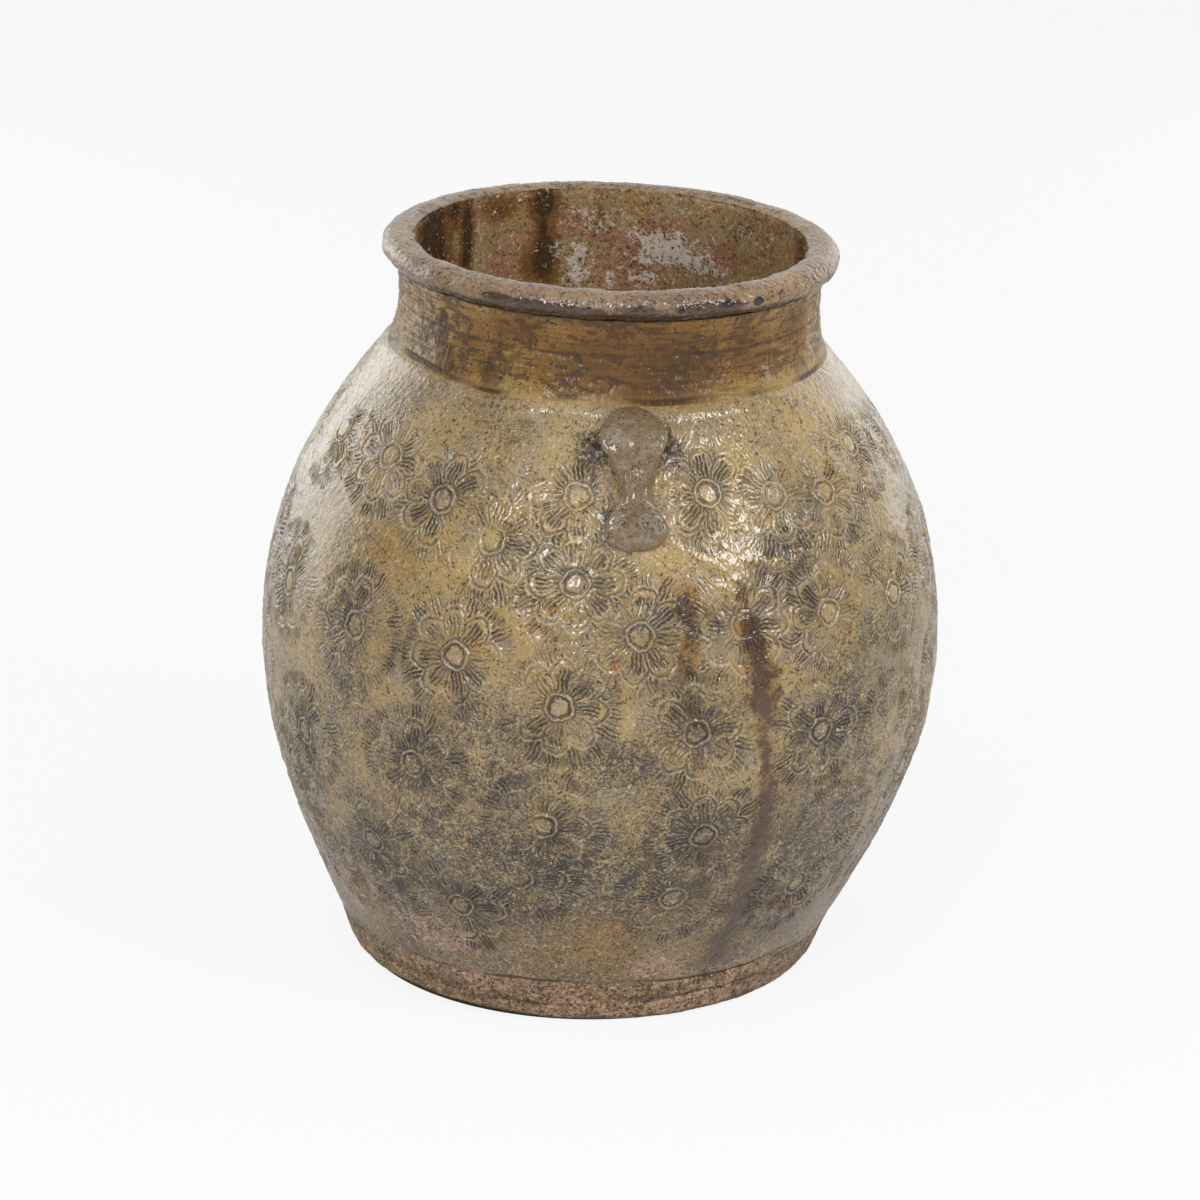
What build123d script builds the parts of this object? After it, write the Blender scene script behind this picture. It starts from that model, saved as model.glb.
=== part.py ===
from build123d import *
import math
import os

# A glazed stoneware storage jar, luted together from thrown sections.
# Millimetres, +Z up, origin at the centre of the foot on the floor, lugs on -Y and +Y.

# Heights of the sections, from the floor up
base_height = 20
lower_wall_height = 120
upper_wall_height = 128
neck_height = 34
rim_height = 13

# Outside radii at the seams and at the neck's waist
base_top_radius = 108.2
belly_radius = 145
neck_waist_radius = 88.5

# Clay thickness
wall = 7
floor_thickness = 11

# How far the foot lies inside its seam, and how far the neck's ends and the rim stand out
foot_taper = 7.7
neck_base_flare = 4.2
neck_top_flare = 1.3
rim_overhang = 5.4

# Softened corners of the foot and of the inside floor
foot_edge_radius = 3.5
floor_corner_radius = 9

# The roll of clay round the mouth
roll_width = 16.4
roll_thickness = 12.7

# The jar leans to +X as it rises: sideways shift of its sections, and the tilt of neck and mouth in degrees
base_shift = 1.1
belly_shift = 5.4
neck_shift = 6.3
neck_tilt = 1.15

# How the walls curve: sections cut along each wall, and the power by which the shoulder falls
lower_wall_cuts = 4
upper_wall_cuts = 5
shoulder_fall_share = 2.2
# Where the neck is waisted, as shares of its height and of its narrowing
neck_rise_shares = (0, 0.27, 0.65)
neck_narrowing_shares = (0, 0.75, 1)

# Lugs: drop of the strap's root and of its pad below the neck seam, and how far the strap stands off the wall
lug_root_drop = 3.6
lug_pad_drop = 39
lug_reach = 11.6
strap_root_width = 28
strap_waist_width = 12.5
strap_thickness = 5.2
lug_pad_width = 26
lug_pad_standing = 4.2
# The strap's way from root to pad: shares of its drop, of its reach, of its narrowing, and of its thickness
strap_drop_shares = (0, -0.03, 0.06, 0.22, 0.45, 0.7, 0.92)
strap_reach_shares = (-0.5, 0.5, 0.97, 0.9, 0.5, 0.25, 0.15)
strap_narrowing_shares = (0.25, 0.1, 0.02, 0.5, 0.85, 1, 0.7)
strap_thickness_shares = (1.1, 1.1, 1.05, 1, 1, 1, 1)

# The thumb hollow behind each strap, which makes room for the cord
hollow_drop = 11
hollow_radius = 8
hollow_depth = 3.6
hollow_half_length = 22

# The stamped flowers, each a shallow round dish with a deeper eye
flower_radius = 10
flower_depth = 0.9
eye_radius = 4.5
eye_depth = 1.3
# Where the front flowers sit: shares of a full turn from -Y, and of the height between base seam and neck seam
front_flower_shares = (
    (-0.215, 0.88), (-0.155, 0.88), (-0.11, 0.85), (-0.075, 0.8), (-0.03, 0.88), (0.04, 0.88),
    (0.08, 0.86), (0.115, 0.85), (0.16, 0.9), (-0.03, 0.745), (-0.205, 0.64), (-0.14, 0.63),
    (-0.085, 0.62), (0, 0.67), (0.05, 0.68), (0.1, 0.67), (0.15, 0.66), (-0.035, 0.55),
    (0.025, 0.51), (0.09, 0.48), (0.14, 0.44), (-0.18, 0.4), (-0.105, 0.42), (-0.04, 0.34),
    (0.035, 0.32), (0.11, 0.27), (-0.055, 0.23), (-0.135, 0.24), (-0.085, 0.15), (0.025, 0.19),
)
# Rows of flowers round the back: their height, and the first and last place in the turn
back_height_shares = (0.88, 0.67, 0.48, 0.32, 0.17)
back_first_shares = (0.22, 0.205, 0.2, 0.17, 0.1)
back_last_shares = (0.73, 0.745, 0.76, 0.8, 0.835)
back_counts = (9, 11, 11, 12, 12)

belly_height = base_height + lower_wall_height
neck_seam_height = belly_height + upper_wall_height
foot_radius = base_top_radius - foot_taper
neck_base_radius = neck_waist_radius + neck_base_flare
neck_top_radius = neck_waist_radius + neck_top_flare
rim_radius = neck_top_radius + rim_overhang
mouth_radius = neck_waist_radius - wall


def blend(start, end, share):
    """The size that lies the given share of the way from start to end."""
    return start + (end - start) * share


def ring(height, radius, shift, tilt=0):
    """One round section of the jar, leaning towards +X."""
    return Pos(shift, 0, height) * Rot(0, tilt, 0) * Circle(radius)


def lower_share(height):
    """How much of the lower wall's widening is done at a height."""
    return math.sin(math.pi / 2 * (height - base_height) / lower_wall_height)


def shoulder_share(height):
    """How much of the shoulder's fall to the neck is done at a height."""
    return ((height - belly_height) / upper_wall_height) ** shoulder_fall_share


def shoulder_radius(height):
    """Outside radius of the upper wall at a height."""
    return blend(belly_radius, neck_base_radius, shoulder_share(height))


def shoulder_slope(height):
    """Change of the outside radius with height, which is negative on the shoulder."""
    rise_share = (height - belly_height) / upper_wall_height
    fall = (belly_radius - neck_base_radius) * shoulder_fall_share * rise_share ** (shoulder_fall_share - 1)
    return -fall / upper_wall_height


def wall_radius(height):
    """Outside radius of the walls at a height."""
    if height < belly_height:
        return blend(base_top_radius, belly_radius, lower_share(height))
    return shoulder_radius(height)


def wall_slope(height):
    """Change of the walls' outside radius with height."""
    if height < belly_height:
        turn = math.pi / 2 * (height - base_height) / lower_wall_height
        return (belly_radius - base_top_radius) * math.cos(turn) * math.pi / 2 / lower_wall_height
    return shoulder_slope(height)


def wall_level(height):
    """The middle of the walls' ring at a height, with its lean."""
    if height < belly_height:
        return Pos(blend(base_shift, belly_shift, lower_share(height)), 0, height)
    share = shoulder_share(height)
    return Pos(blend(belly_shift, neck_shift, share), 0, height) * Rot(0, neck_tilt * share, 0)


def wall_form(inset, start_height, top_radius):
    """The solid inside one face of the wall, lofted through rings from a start height to the neck seam."""
    start_share = start_height / base_height
    start_radius = blend(foot_radius, base_top_radius, start_share) - inset
    rings = [ring(start_height, start_radius, base_shift * start_share)]
    for cut in range(lower_wall_cuts + 1):
        height = blend(base_height, belly_height, cut / lower_wall_cuts)
        share = lower_share(height)
        radius = wall_radius(height) - inset
        rings.append(ring(height, radius, blend(base_shift, belly_shift, share)))
    for cut in range(1, upper_wall_cuts + 1):
        height = blend(belly_height, neck_seam_height, cut / upper_wall_cuts)
        share = shoulder_share(height)
        radius = blend(belly_radius - inset, top_radius, share)
        rings.append(ring(height, radius, blend(belly_shift, neck_shift, share), neck_tilt * share))
    return loft(rings)


def outer_form():
    """The jar below the neck as one block, with the foot's edge softened."""
    form = wall_form(0, 0, neck_base_radius)
    foot_edge = form.edges().sort_by(Axis.Z)[0]
    return fillet(foot_edge, foot_edge_radius)


def inner_form():
    """The space inside the jar below the neck, with a rounded corner at its floor."""
    form = wall_form(wall, floor_thickness, mouth_radius)
    floor_edge = form.edges().sort_by(Axis.Z)[0]
    return fillet(floor_edge, floor_corner_radius)


def neck_frame(rise):
    """A place on the neck's leaning axis, a given rise above the neck seam."""
    return Pos(neck_shift, 0, neck_seam_height) * Rot(0, neck_tilt, 0) * Pos(0, 0, rise)


def make_neck_collar():
    """The waisted collar, with the round bore of the mouth through it."""
    rings = []
    for rise_share, narrowing_share in zip(neck_rise_shares, neck_narrowing_shares):
        radius = blend(neck_base_radius, neck_waist_radius, narrowing_share)
        rings.append(neck_frame(neck_height * rise_share) * Circle(radius))
    rings.append(neck_frame(neck_height) * Circle(neck_top_radius))
    bore = neck_frame(neck_height / 2) * Cylinder(mouth_radius, neck_height)
    return loft(rings) - bore


def make_rim_roll():
    """The roll round the mouth on its seat, with the round of the mouth as its inner face."""
    roll_centre_radius = rim_radius - roll_width / 2
    roll_centre_height = rim_height - roll_thickness / 2
    roll = Pos(roll_centre_radius, roll_centre_height) * Ellipse(roll_width / 2, roll_thickness / 2)
    seat_width = neck_top_radius - mouth_radius
    seat = Pos(mouth_radius + seat_width / 2, roll_centre_height / 2) * Rectangle(seat_width, roll_centre_height)
    clay_side = Pos(mouth_radius + roll_width / 2, rim_height / 2) * Rectangle(roll_width, rim_height)
    section = (roll + seat) & clay_side
    return neck_frame(neck_height) * revolve(Rot(90, 0, 0) * section, Axis.Z)


def strap_section(path, place_share, half_width, half_thickness):
    """One rounded section of the strap, square to its path."""
    plane = Plane(path @ place_share, x_dir=(1, 0, 0), z_dir=path % place_share)
    return plane * Ellipse(half_width, half_thickness)


def strap_points():
    """The middle of the strap, from inside the wall under the neck to inside the pad."""
    points = []
    for drop_share, reach_share in zip(strap_drop_shares, strap_reach_shares):
        drop = blend(lug_root_drop, lug_pad_drop, drop_share)
        height = neck_seam_height - drop
        points.append((belly_shift, -shoulder_radius(height) - lug_reach * reach_share, height))
    return points


def make_strap():
    """The strap on -Y, which narrows as it falls, with both ends inside the wall."""
    points = strap_points()
    path = Spline(*points)
    sections = []
    for place, point in enumerate(points):
        width = blend(strap_root_width, strap_waist_width, strap_narrowing_shares[place])
        thickness = strap_thickness * strap_thickness_shares[place]
        sections.append(strap_section(path, path.param_at_point(point), width / 2, thickness / 2))
    return loft(sections)


def make_pad():
    """The thumb-pressed pad at the strap's foot, a flat round dome half sunk in the wall."""
    height = neck_seam_height - lug_pad_drop
    slope = shoulder_slope(height)
    seat = Plane((belly_shift, -shoulder_radius(height), height), x_dir=(1, 0, 0), z_dir=(0, -1, -slope))
    half_width = lug_pad_width / 2
    half_section = Pos(half_width, 0) * Rectangle(lug_pad_width, lug_pad_width)
    outline = Ellipse(half_width, lug_pad_standing) & half_section
    return seat * revolve(Rot(90, 0, 0) * outline, Axis.Z)


def make_thumb_hollow():
    """The shallow dish that a thumb leaves in the wall behind the front strap."""
    height = neck_seam_height - hollow_drop
    slope = shoulder_slope(height)
    outward = Vector(0, -1, -slope).normalized()
    surface = Vector(belly_shift, -shoulder_radius(height), height)
    centre = surface + outward * (hollow_radius - hollow_depth)
    half = Ellipse(hollow_half_length, hollow_radius) & Pos(0, hollow_radius) * Rectangle(
        2 * hollow_half_length, 2 * hollow_radius
    )
    return Pos(centre) * revolve(half, Axis.X)


def make_dimple(turn_share, height, radius, depth):
    """A ball that leaves a round dimple of about the given radius and depth in the wall."""
    ball_radius = 1 / (2 * depth / radius**2 - 1 / wall_radius(height))
    lean = math.degrees(math.atan(wall_slope(height)))
    outside = wall_level(height) * Rot(0, 0, 360 * turn_share) * Pos(0, -wall_radius(height), 0)
    return outside * Rot(90 + lean, 0, 0) * Pos(0, 0, ball_radius - depth) * Sphere(ball_radius)


def flower_places():
    """Every flower's place: the front ones by hand, the back ones in even rows."""
    places = list(front_flower_shares)
    for row, count in enumerate(back_counts):
        for step in range(count):
            turn_share = blend(back_first_shares[row], back_last_shares[row], step / (count - 1))
            places.append((turn_share, back_height_shares[row]))
    return places


def clear_of_lugs(turn_share, height):
    """Whether a flower at this spot keeps clear of both lugs and of the hollows behind them."""
    lug_foot_height = neck_seam_height - lug_pad_drop - lug_pad_width / 2
    aside = wall_radius(height) * abs(math.sin(2 * math.pi * turn_share))
    return height < lug_foot_height - flower_radius or aside > hollow_half_length + flower_radius


def make_flowers(low, high):
    """The balls that press the flowers of the wall between two heights."""
    balls = []
    for turn_share, height_share in flower_places():
        height = blend(base_height, neck_seam_height, height_share)
        if low - flower_radius < height < high + flower_radius and clear_of_lugs(turn_share, height):
            balls.append(make_dimple(turn_share, height, flower_radius, flower_depth))
            balls.append(make_dimple(turn_share, height, eye_radius, eye_depth))
    return balls


def half_turn(shape):
    """The shape turned to the opposite side of the shoulder."""
    return Pos(belly_shift, 0, 0) * Rot(0, 0, 180) * Pos(-belly_shift, 0, 0) * shape


def make_parts():
    """Every piece of the jar by its name."""
    body = outer_form()
    shell = body - inner_form()
    base_seam = Plane.XY.offset(base_height)
    belly_seam = Plane.XY.offset(belly_height)
    base_slab = split(shell, bisect_by=base_seam, keep=Keep.BOTTOM)
    wall_rest = split(shell, bisect_by=base_seam, keep=Keep.TOP)
    hollow = make_thumb_hollow()
    lower_wall = split(wall_rest, bisect_by=belly_seam, keep=Keep.BOTTOM)
    upper_wall = split(wall_rest, bisect_by=belly_seam, keep=Keep.TOP) - hollow - half_turn(hollow)
    lug = make_strap() + make_pad()
    return {
        "base_slab": base_slab,
        "lower_wall": lower_wall - make_flowers(base_height, belly_height),
        "upper_wall": upper_wall - make_flowers(belly_height, neck_seam_height),
        "neck_collar": make_neck_collar(),
        "rim_roll": make_rim_roll(),
        "lug_front": lug - body,
        "lug_back": half_turn(lug) - body,
    }


os.makedirs("parts", exist_ok=True)
for name, shape in make_parts().items():
    export_step(shape, f"parts/{name}.step")
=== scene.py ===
import math

import bpy
import numpy as np
from mathutils import Matrix, Vector


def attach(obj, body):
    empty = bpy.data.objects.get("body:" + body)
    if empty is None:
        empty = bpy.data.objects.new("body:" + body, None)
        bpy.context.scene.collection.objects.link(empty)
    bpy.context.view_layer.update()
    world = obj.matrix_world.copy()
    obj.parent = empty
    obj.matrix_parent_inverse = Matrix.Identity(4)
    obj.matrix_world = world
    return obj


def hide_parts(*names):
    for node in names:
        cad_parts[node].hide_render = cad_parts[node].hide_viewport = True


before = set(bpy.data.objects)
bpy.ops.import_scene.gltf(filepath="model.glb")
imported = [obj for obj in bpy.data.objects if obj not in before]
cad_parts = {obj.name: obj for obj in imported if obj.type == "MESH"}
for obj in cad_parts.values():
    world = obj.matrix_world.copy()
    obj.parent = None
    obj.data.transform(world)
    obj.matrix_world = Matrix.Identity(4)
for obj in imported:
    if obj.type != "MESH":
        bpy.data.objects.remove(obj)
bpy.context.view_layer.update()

# Sizes in millimetres, as in the CAD model
MM = 0.001
BASE_HEIGHT = 20
BELLY_HEIGHT = 140
NECK_SEAM = 268
NECK_HEIGHT = 34
RIM_HEIGHT = 13
FOOT_RADIUS = 100.5
BASE_TOP_RADIUS = 108.2
BELLY_RADIUS = 145
NECK_RADII = (92.7, 89.55, 88.5, 89.8)
NECK_SHARES = (0, 0.27, 0.65, 1)
WALL = 7
FLOOR_THICKNESS = 11
MOUTH_RADIUS = 81.5
FOOT_EDGE = 3.5
FLOOR_CORNER = 9
ROLL_CENTRE_RADIUS = 87
ROLL_WIDTH = 16.4
ROLL_THICKNESS = 12.7
BASE_SHIFT = 1.1
BELLY_SHIFT = 5.4
NECK_SHIFT = 6.3
NECK_TILT = math.radians(1.15)
SHOULDER_FALL = 2.2

# The photograph's camera: image size, focal length in pixels, aim point in mm, distance, and turns in degrees
IMAGE_SIZE = 1200
FOCAL_PIXELS = 4662
AIM = (5.09, -0.56, 152.74)
CAMERA_DISTANCE = 2000
CAMERA_AZIMUTH = math.radians(-6.24)
CAMERA_ELEVATION = math.radians(19.57)
CAMERA_ROLL = math.radians(1.08)
SENSOR_WIDTH = 36

FINENESS = 1
FRONT_STEP = 0.56 * FINENESS
BACK_STEP = 1.0 * FINENESS
ROW_STEP = 0.6 * FINENESS
INSIDE_STRIDE = 3

TURN = 2 * math.pi
# Half of the turn that the photograph shows, with the stretch over which the mesh columns spread out
SHOWN_HALF = math.radians(86)
SHOWN_FADE = math.radians(4)
rng = np.random.default_rng(7)


# Shape of the jar

def blend(start, end, share):
    return start + (end - start) * share


def lower_share(height):
    return np.sin(np.pi / 2 * np.clip((height - BASE_HEIGHT) / (BELLY_HEIGHT - BASE_HEIGHT), 0, 1))


def shoulder_share(height):
    return np.clip((height - BELLY_HEIGHT) / (NECK_SEAM - BELLY_HEIGHT), 0, 1) ** SHOULDER_FALL


def neck_radius(height):
    share = np.clip((height - NECK_SEAM) / NECK_HEIGHT, 0, 1)
    return np.polyval(np.polyfit(NECK_SHARES, NECK_RADII, 3), share)


def lower_radii(height):
    """Radii of the foot's cone and of the lower wall at a height, without the foot's rounded edge."""
    foot = blend(FOOT_RADIUS, BASE_TOP_RADIUS, height / BASE_HEIGHT)
    return foot, blend(BASE_TOP_RADIUS, BELLY_RADIUS, lower_share(height))


def outer_radius(height):
    """Outside radius of foot, walls and neck at a height along the jar."""
    height = np.asarray(height, float)
    foot, lower = lower_radii(height)
    low = np.clip(FOOT_EDGE - height, 0, FOOT_EDGE)
    foot = foot - (FOOT_EDGE - np.sqrt(FOOT_EDGE ** 2 - low ** 2))
    upper = blend(BELLY_RADIUS, NECK_RADII[0], shoulder_share(height))
    bands = [height < BASE_HEIGHT, height < BELLY_HEIGHT, height < NECK_SEAM]
    return np.select(bands, [foot, lower, upper], neck_radius(height))


def inner_radius(height):
    """Radius of the hollow below the neck at a height."""
    height = np.asarray(height, float)
    foot, lower = lower_radii(height)
    upper = blend(BELLY_RADIUS - WALL, MOUTH_RADIUS, shoulder_share(height))
    return np.select([height < BASE_HEIGHT, height < BELLY_HEIGHT], [foot - WALL, lower - WALL], upper)


def axis_of(height):
    """Sideways place, height and tilt of the ring at a height along the jar."""
    height = np.asarray(height, float)
    rise = np.clip(height - NECK_SEAM, 0, None)
    foot = BASE_SHIFT * np.clip(height / BASE_HEIGHT, 0, 1)
    below = foot + (BELLY_SHIFT - BASE_SHIFT) * lower_share(height)
    across = below + (NECK_SHIFT - BELLY_SHIFT) * shoulder_share(height) + rise * math.sin(NECK_TILT)
    up = np.minimum(height, NECK_SEAM) + rise * math.cos(NECK_TILT)
    return across, up, NECK_TILT * shoulder_share(height)


def ring_points(azimuth, radius, height):
    """Points on the jar's rings, in mm. Azimuth 0 faces -Y and turns towards +X."""
    across, up, tilt = axis_of(height)
    sideways = np.sin(azimuth) * radius
    x = across + sideways * np.cos(tilt)
    y = -np.cos(azimuth) * radius
    z = up - sideways * np.sin(tilt)
    return np.stack(np.broadcast_arrays(x, y, z), axis=-1)


def grid_normals(points):
    """Outward normals of a grid whose rows close on themselves round the jar."""
    along = np.gradient(points, axis=0)
    across = np.roll(points, -1, axis=1) - np.roll(points, 1, axis=1)
    normals = np.cross(across, along)
    return normals / np.maximum(np.linalg.norm(normals, axis=-1, keepdims=True), 1e-9)


def column_azimuths():
    """Azimuths of the mesh columns, closer together on the side that the photograph shows."""
    fine = np.linspace(-math.pi, math.pi, 20001)
    offset = np.abs(fine - CAMERA_AZIMUTH)
    step = blend(BACK_STEP, FRONT_STEP, 1 / (1 + np.exp((offset - SHOWN_HALF) / SHOWN_FADE)))
    amount = np.concatenate([[0], np.cumsum(BELLY_RADIUS / step[:-1] * np.diff(fine))])
    count = int(round(amount[-1] / INSIDE_STRIDE)) * INSIDE_STRIDE
    return np.interp(np.arange(count) / count * amount[-1], amount, fine)


def wander(azimuth, seed, lowest, highest):
    """A smooth random line round the jar, of about unit size, made of whole waves."""
    draw = np.random.default_rng(seed)
    line = np.zeros_like(azimuth)
    counts = np.arange(lowest, highest + 1)
    for count in counts:
        line += draw.normal() * np.cos(count * azimuth + draw.uniform(0, TURN)) / count ** 0.5
    return line / np.sqrt(np.sum(0.5 / counts))


# Mean radius of the jar, which turns a wave's length in mm into waves round the jar
MEAN_RADIUS = 125


def unevenness(azimuth, arc, seed, size, terms=28):
    """A smooth random surface of about unit height, with waves of about the given size in mm."""
    draw = np.random.default_rng(seed)
    total = np.zeros(np.broadcast_shapes(azimuth.shape, arc.shape))
    for _ in range(terms):
        direction = draw.uniform(0, math.pi)
        waves = TURN / size * draw.uniform(0.6, 1.6)
        count = round(waves * math.cos(direction) * MEAN_RADIUS)
        total += np.cos(count * azimuth + waves * math.sin(direction) * arc + draw.uniform(0, TURN))
    return total / math.sqrt(terms / 2)


# Arithmetic that works on arrays and on a material's values alike

class Signal:
    """A value in a material's node tree, for ordinary arithmetic."""

    def __init__(self, tree, socket):
        self.tree = tree
        self.socket = socket

    def math(self, operation, *others):
        node = self.tree.nodes.new("ShaderNodeMath")
        node.operation = operation
        for place, value in enumerate((self, *others)):
            if isinstance(value, Signal):
                self.tree.links.new(value.socket, node.inputs[place])
            else:
                node.inputs[place].default_value = value
        return Signal(self.tree, node.outputs[0])

    def __add__(self, other):
        return self.math("ADD", other)

    def __sub__(self, other):
        return self.math("SUBTRACT", other)

    def __mul__(self, other):
        return self.math("MULTIPLY", other)

    def __truediv__(self, other):
        return self.math("DIVIDE", other)

    __radd__ = __add__
    __rmul__ = __mul__

    def __rsub__(self, other):
        return (self * -1) + other


def both_ways(operation, array_function):
    """A function that works on arrays and on a material's values alike."""
    def apply(value, *others):
        if isinstance(value, Signal):
            return value.math(operation, *others)
        return array_function(value, *others)
    return apply


root = both_ways("SQRT", np.sqrt)
cosine = both_ways("COSINE", np.cos)
sine = both_ways("SINE", np.sin)
size_of = both_ways("ABSOLUTE", np.abs)
angle_of = both_ways("ARCTAN2", np.arctan2)
remainder = both_ways("FLOORED_MODULO", np.mod)
larger = both_ways("MAXIMUM", np.maximum)
smaller = both_ways("MINIMUM", np.minimum)


def clip(value):
    return smaller(larger(value, 0.0), 1.0)


def smooth(value, start, end):
    """0 before start and 1 after end, with a smooth rise between them."""
    share = clip((value - start) / (end - start))
    return share * share * (3 - 2 * share)


def groove(value, place, half_width):
    """1 where the value is at a place, falling smoothly to 0 at the half width."""
    return 1 - smooth(size_of(value - place), half_width * 0.25, half_width)


def turn_from(azimuth, place):
    """How far round the jar an azimuth lies from a place, from minus to plus half a turn."""
    return remainder(azimuth - place + math.pi, TURN) - math.pi


# The flower stamp, in mm from its centre: two rings, petals with hatch lines, and rays beyond them

CORE_RING = 4.4
OUTER_RING = 6.5
INNER_PETALS = 8
INNER_WIDEST = 13.0
INNER_TIP = 6.6
OUTER_PETALS = 16
OUTER_WIDEST = 23.5
OUTER_TIP = 5.5
LINE_SPACING = 1.75
# Whole lines and a half, which keeps the remainder positive and puts a line on a petal's middle
LINE_SHIFT = 10.5 * LINE_SPACING


def petal_place(radius, angle, petals):
    """Places along and across the nearest of some petals that are evenly spaced round the centre."""
    turn = TURN / petals
    nearest = remainder(angle + (TURN + turn / 2), turn) - turn / 2
    return radius * cosine(nearest), radius * sine(nearest)


def petal_edge(along, across, widest, length, petals):
    """0 on a petal's middle line and 1 on its outline, with a round tip past its widest place."""
    spread = math.tan(math.pi / petals)
    onward = (along - widest) / length
    sideways = across / (widest * spread)
    tip = root(onward * onward + sideways * sideways)
    side = size_of(across) / (larger(along, 0.5) * spread)
    past = smooth(along, widest - 0.01, widest + 0.01)
    return tip * past + side * (1 - past)


def worn(x, y, seed):
    """A stamp's places pulled a little out of line by the clay, and how much of its cut is left at each."""
    turn = seed * 60
    across = x + sine(y * 0.8 + x * 0.25 + turn) * 0.3 + sine(y * 1.9 - x * 1.1 + turn * 2) * 0.16
    along = y + sine(x * 0.75 - y * 0.2 + turn * 3) * 0.3 + sine(x * 1.8 + y * 1.2 + turn) * 0.16
    broad = sine(x * 0.16 + y * 0.1 + turn) * sine(y * 0.14 - x * 0.07 + turn * 2)
    narrow = sine(x * 0.55 + y * 0.35 + turn * 4) * sine(y * 0.6 - x * 0.28 + turn)
    return across, along, clip(broad * 0.55 + narrow * 0.35 + 0.72)


def hatching(across, half_width):
    """1 on the lines that are cut along a petal."""
    line = remainder(across + LINE_SHIFT, LINE_SPACING) - LINE_SPACING / 2
    return groove(line, 0.0, half_width)


def stamp_parts(x, y):
    """Depths of the flower stamp: its rings and its cut lines, from 0 to 1, and its broad hollows.

    The hollows are below 0 where the clay stands up.
    """
    radius = root(x * x + y * y)
    angle = angle_of(y, x)
    rings = larger(groove(radius, CORE_RING, 0.95), groove(radius, OUTER_RING, 0.7) * 0.8)

    along, across = petal_place(radius, angle, INNER_PETALS)
    inner = petal_edge(along, across, INNER_WIDEST, INNER_TIP, INNER_PETALS)
    beyond_rings = smooth(radius, OUTER_RING, OUTER_RING + 0.5)
    outline = groove(inner, 1.0, 0.14) * beyond_rings
    core = (1 - smooth(inner, 0.58, 0.72)) * (1 - smooth(along, 15.6, 16.6)) * beyond_rings
    inner_lines = hatching(across, 0.62) * core

    far_along, far_across = petal_place(radius, angle, OUTER_PETALS)
    outer = petal_edge(far_along, far_across, OUTER_WIDEST, OUTER_TIP, OUTER_PETALS)
    outside = smooth(inner, 1.1, 1.25) * beyond_rings
    far_core = (1 - smooth(outer, 0.66, 0.84)) * (1 - smooth(far_along, 25.5, 28.0))
    rays = hatching(far_across, 0.6) * far_core * outside
    far_outline = groove(outer, 1.0, 0.15) * outside * (1 - smooth(radius, 24, 27)) * 0.6

    lines = larger(larger(outline * 0.8, inner_lines), larger(rays, far_outline))
    band = groove(radius, (CORE_RING + OUTER_RING) / 2, 1.2) * -0.6
    middle = (1 - smooth(radius, 1.5, CORE_RING)) * -0.35
    arches = groove(inner, 1.16, 0.2) * smooth(along, 10.5, 13.0) * (1 - smooth(inner, 1.3, 1.4)) * -0.9
    hollow = core * 0.7 + outside * (1 - smooth(radius, 23, 27)) * 0.5 + middle + band + arches
    return rings, lines, hollow


# Where things lie in the photograph, cast onto the jar

# How far before and beyond the aim point a ray is followed, in mm, and its number of points
RAY_BEFORE = 190
RAY_BEYOND = 150
RAY_BEYOND_INSIDE = 190
RAY_POINTS = 6000


def camera_axes():
    """Right, up and back directions of the photograph's camera."""
    sin_azimuth, cos_azimuth = math.sin(CAMERA_AZIMUTH), math.cos(CAMERA_AZIMUTH)
    sin_elevation, cos_elevation = math.sin(CAMERA_ELEVATION), math.cos(CAMERA_ELEVATION)
    back = np.array([sin_azimuth * cos_elevation, -cos_azimuth * cos_elevation, sin_elevation])
    level = np.array([cos_azimuth, sin_azimuth, 0])
    rise = np.cross(back, level)
    right = math.cos(CAMERA_ROLL) * level + math.sin(CAMERA_ROLL) * rise
    up = -math.sin(CAMERA_ROLL) * level + math.cos(CAMERA_ROLL) * rise
    return right, up, back


def photo_ray(u, v, beyond):
    """Points along a pixel's ray of the photograph, from before the jar to some mm beyond the aim point."""
    right, up, back = camera_axes()
    half = IMAGE_SIZE / 2
    ray = right * (u - half) / FOCAL_PIXELS - up * (v - half) / FOCAL_PIXELS - back
    reach = np.linspace(CAMERA_DISTANCE - RAY_BEFORE, CAMERA_DISTANCE + beyond, RAY_POINTS)
    return np.array(AIM) + CAMERA_DISTANCE * back + reach[:, None] * ray


def cast(u, v):
    """Azimuth and height where a pixel of the photograph first meets the jar's outside."""
    points = photo_ray(u, v, RAY_BEYOND)
    height = np.clip(points[:, 2], 0, NECK_SEAM + NECK_HEIGHT)
    across, _, tilt = axis_of(height)
    height = np.clip(height + (points[:, 0] - across) * np.sin(tilt), 0, NECK_SEAM + NECK_HEIGHT)
    across = axis_of(height)[0]
    clearance = np.hypot(points[:, 0] - across, points[:, 1]) - outer_radius(height)
    inside = np.nonzero((clearance < 0) & (points[:, 2] > 0))[0]
    hit = inside[0] if len(inside) else int(np.argmin(np.where(points[:, 2] > 0, clearance, 1e9)))
    return math.atan2(points[hit, 0] - across[hit], -points[hit, 1]), float(height[hit])


def cast_round(u, v, radius, far):
    """Azimuth and height where a pixel's ray meets the near or the far side of the neck's round."""
    points = photo_ray(u, v, RAY_BEYOND_INSIDE)
    across = axis_of(points[:, 2])[0]
    within = np.nonzero(np.hypot(points[:, 0] - across, points[:, 1]) < radius)[0]
    hit = within[-1 if far else 0]
    return math.atan2(points[hit, 0] - across[hit], -points[hit, 1]), float(points[hit, 2])


def cast_inside(u, v):
    return cast_round(u, v, MOUTH_RADIUS, True)


def cast_rim(u, v):
    return cast_round(u, v, ROLL_CENTRE_RADIUS + ROLL_WIDTH * 0.4, False)


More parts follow.
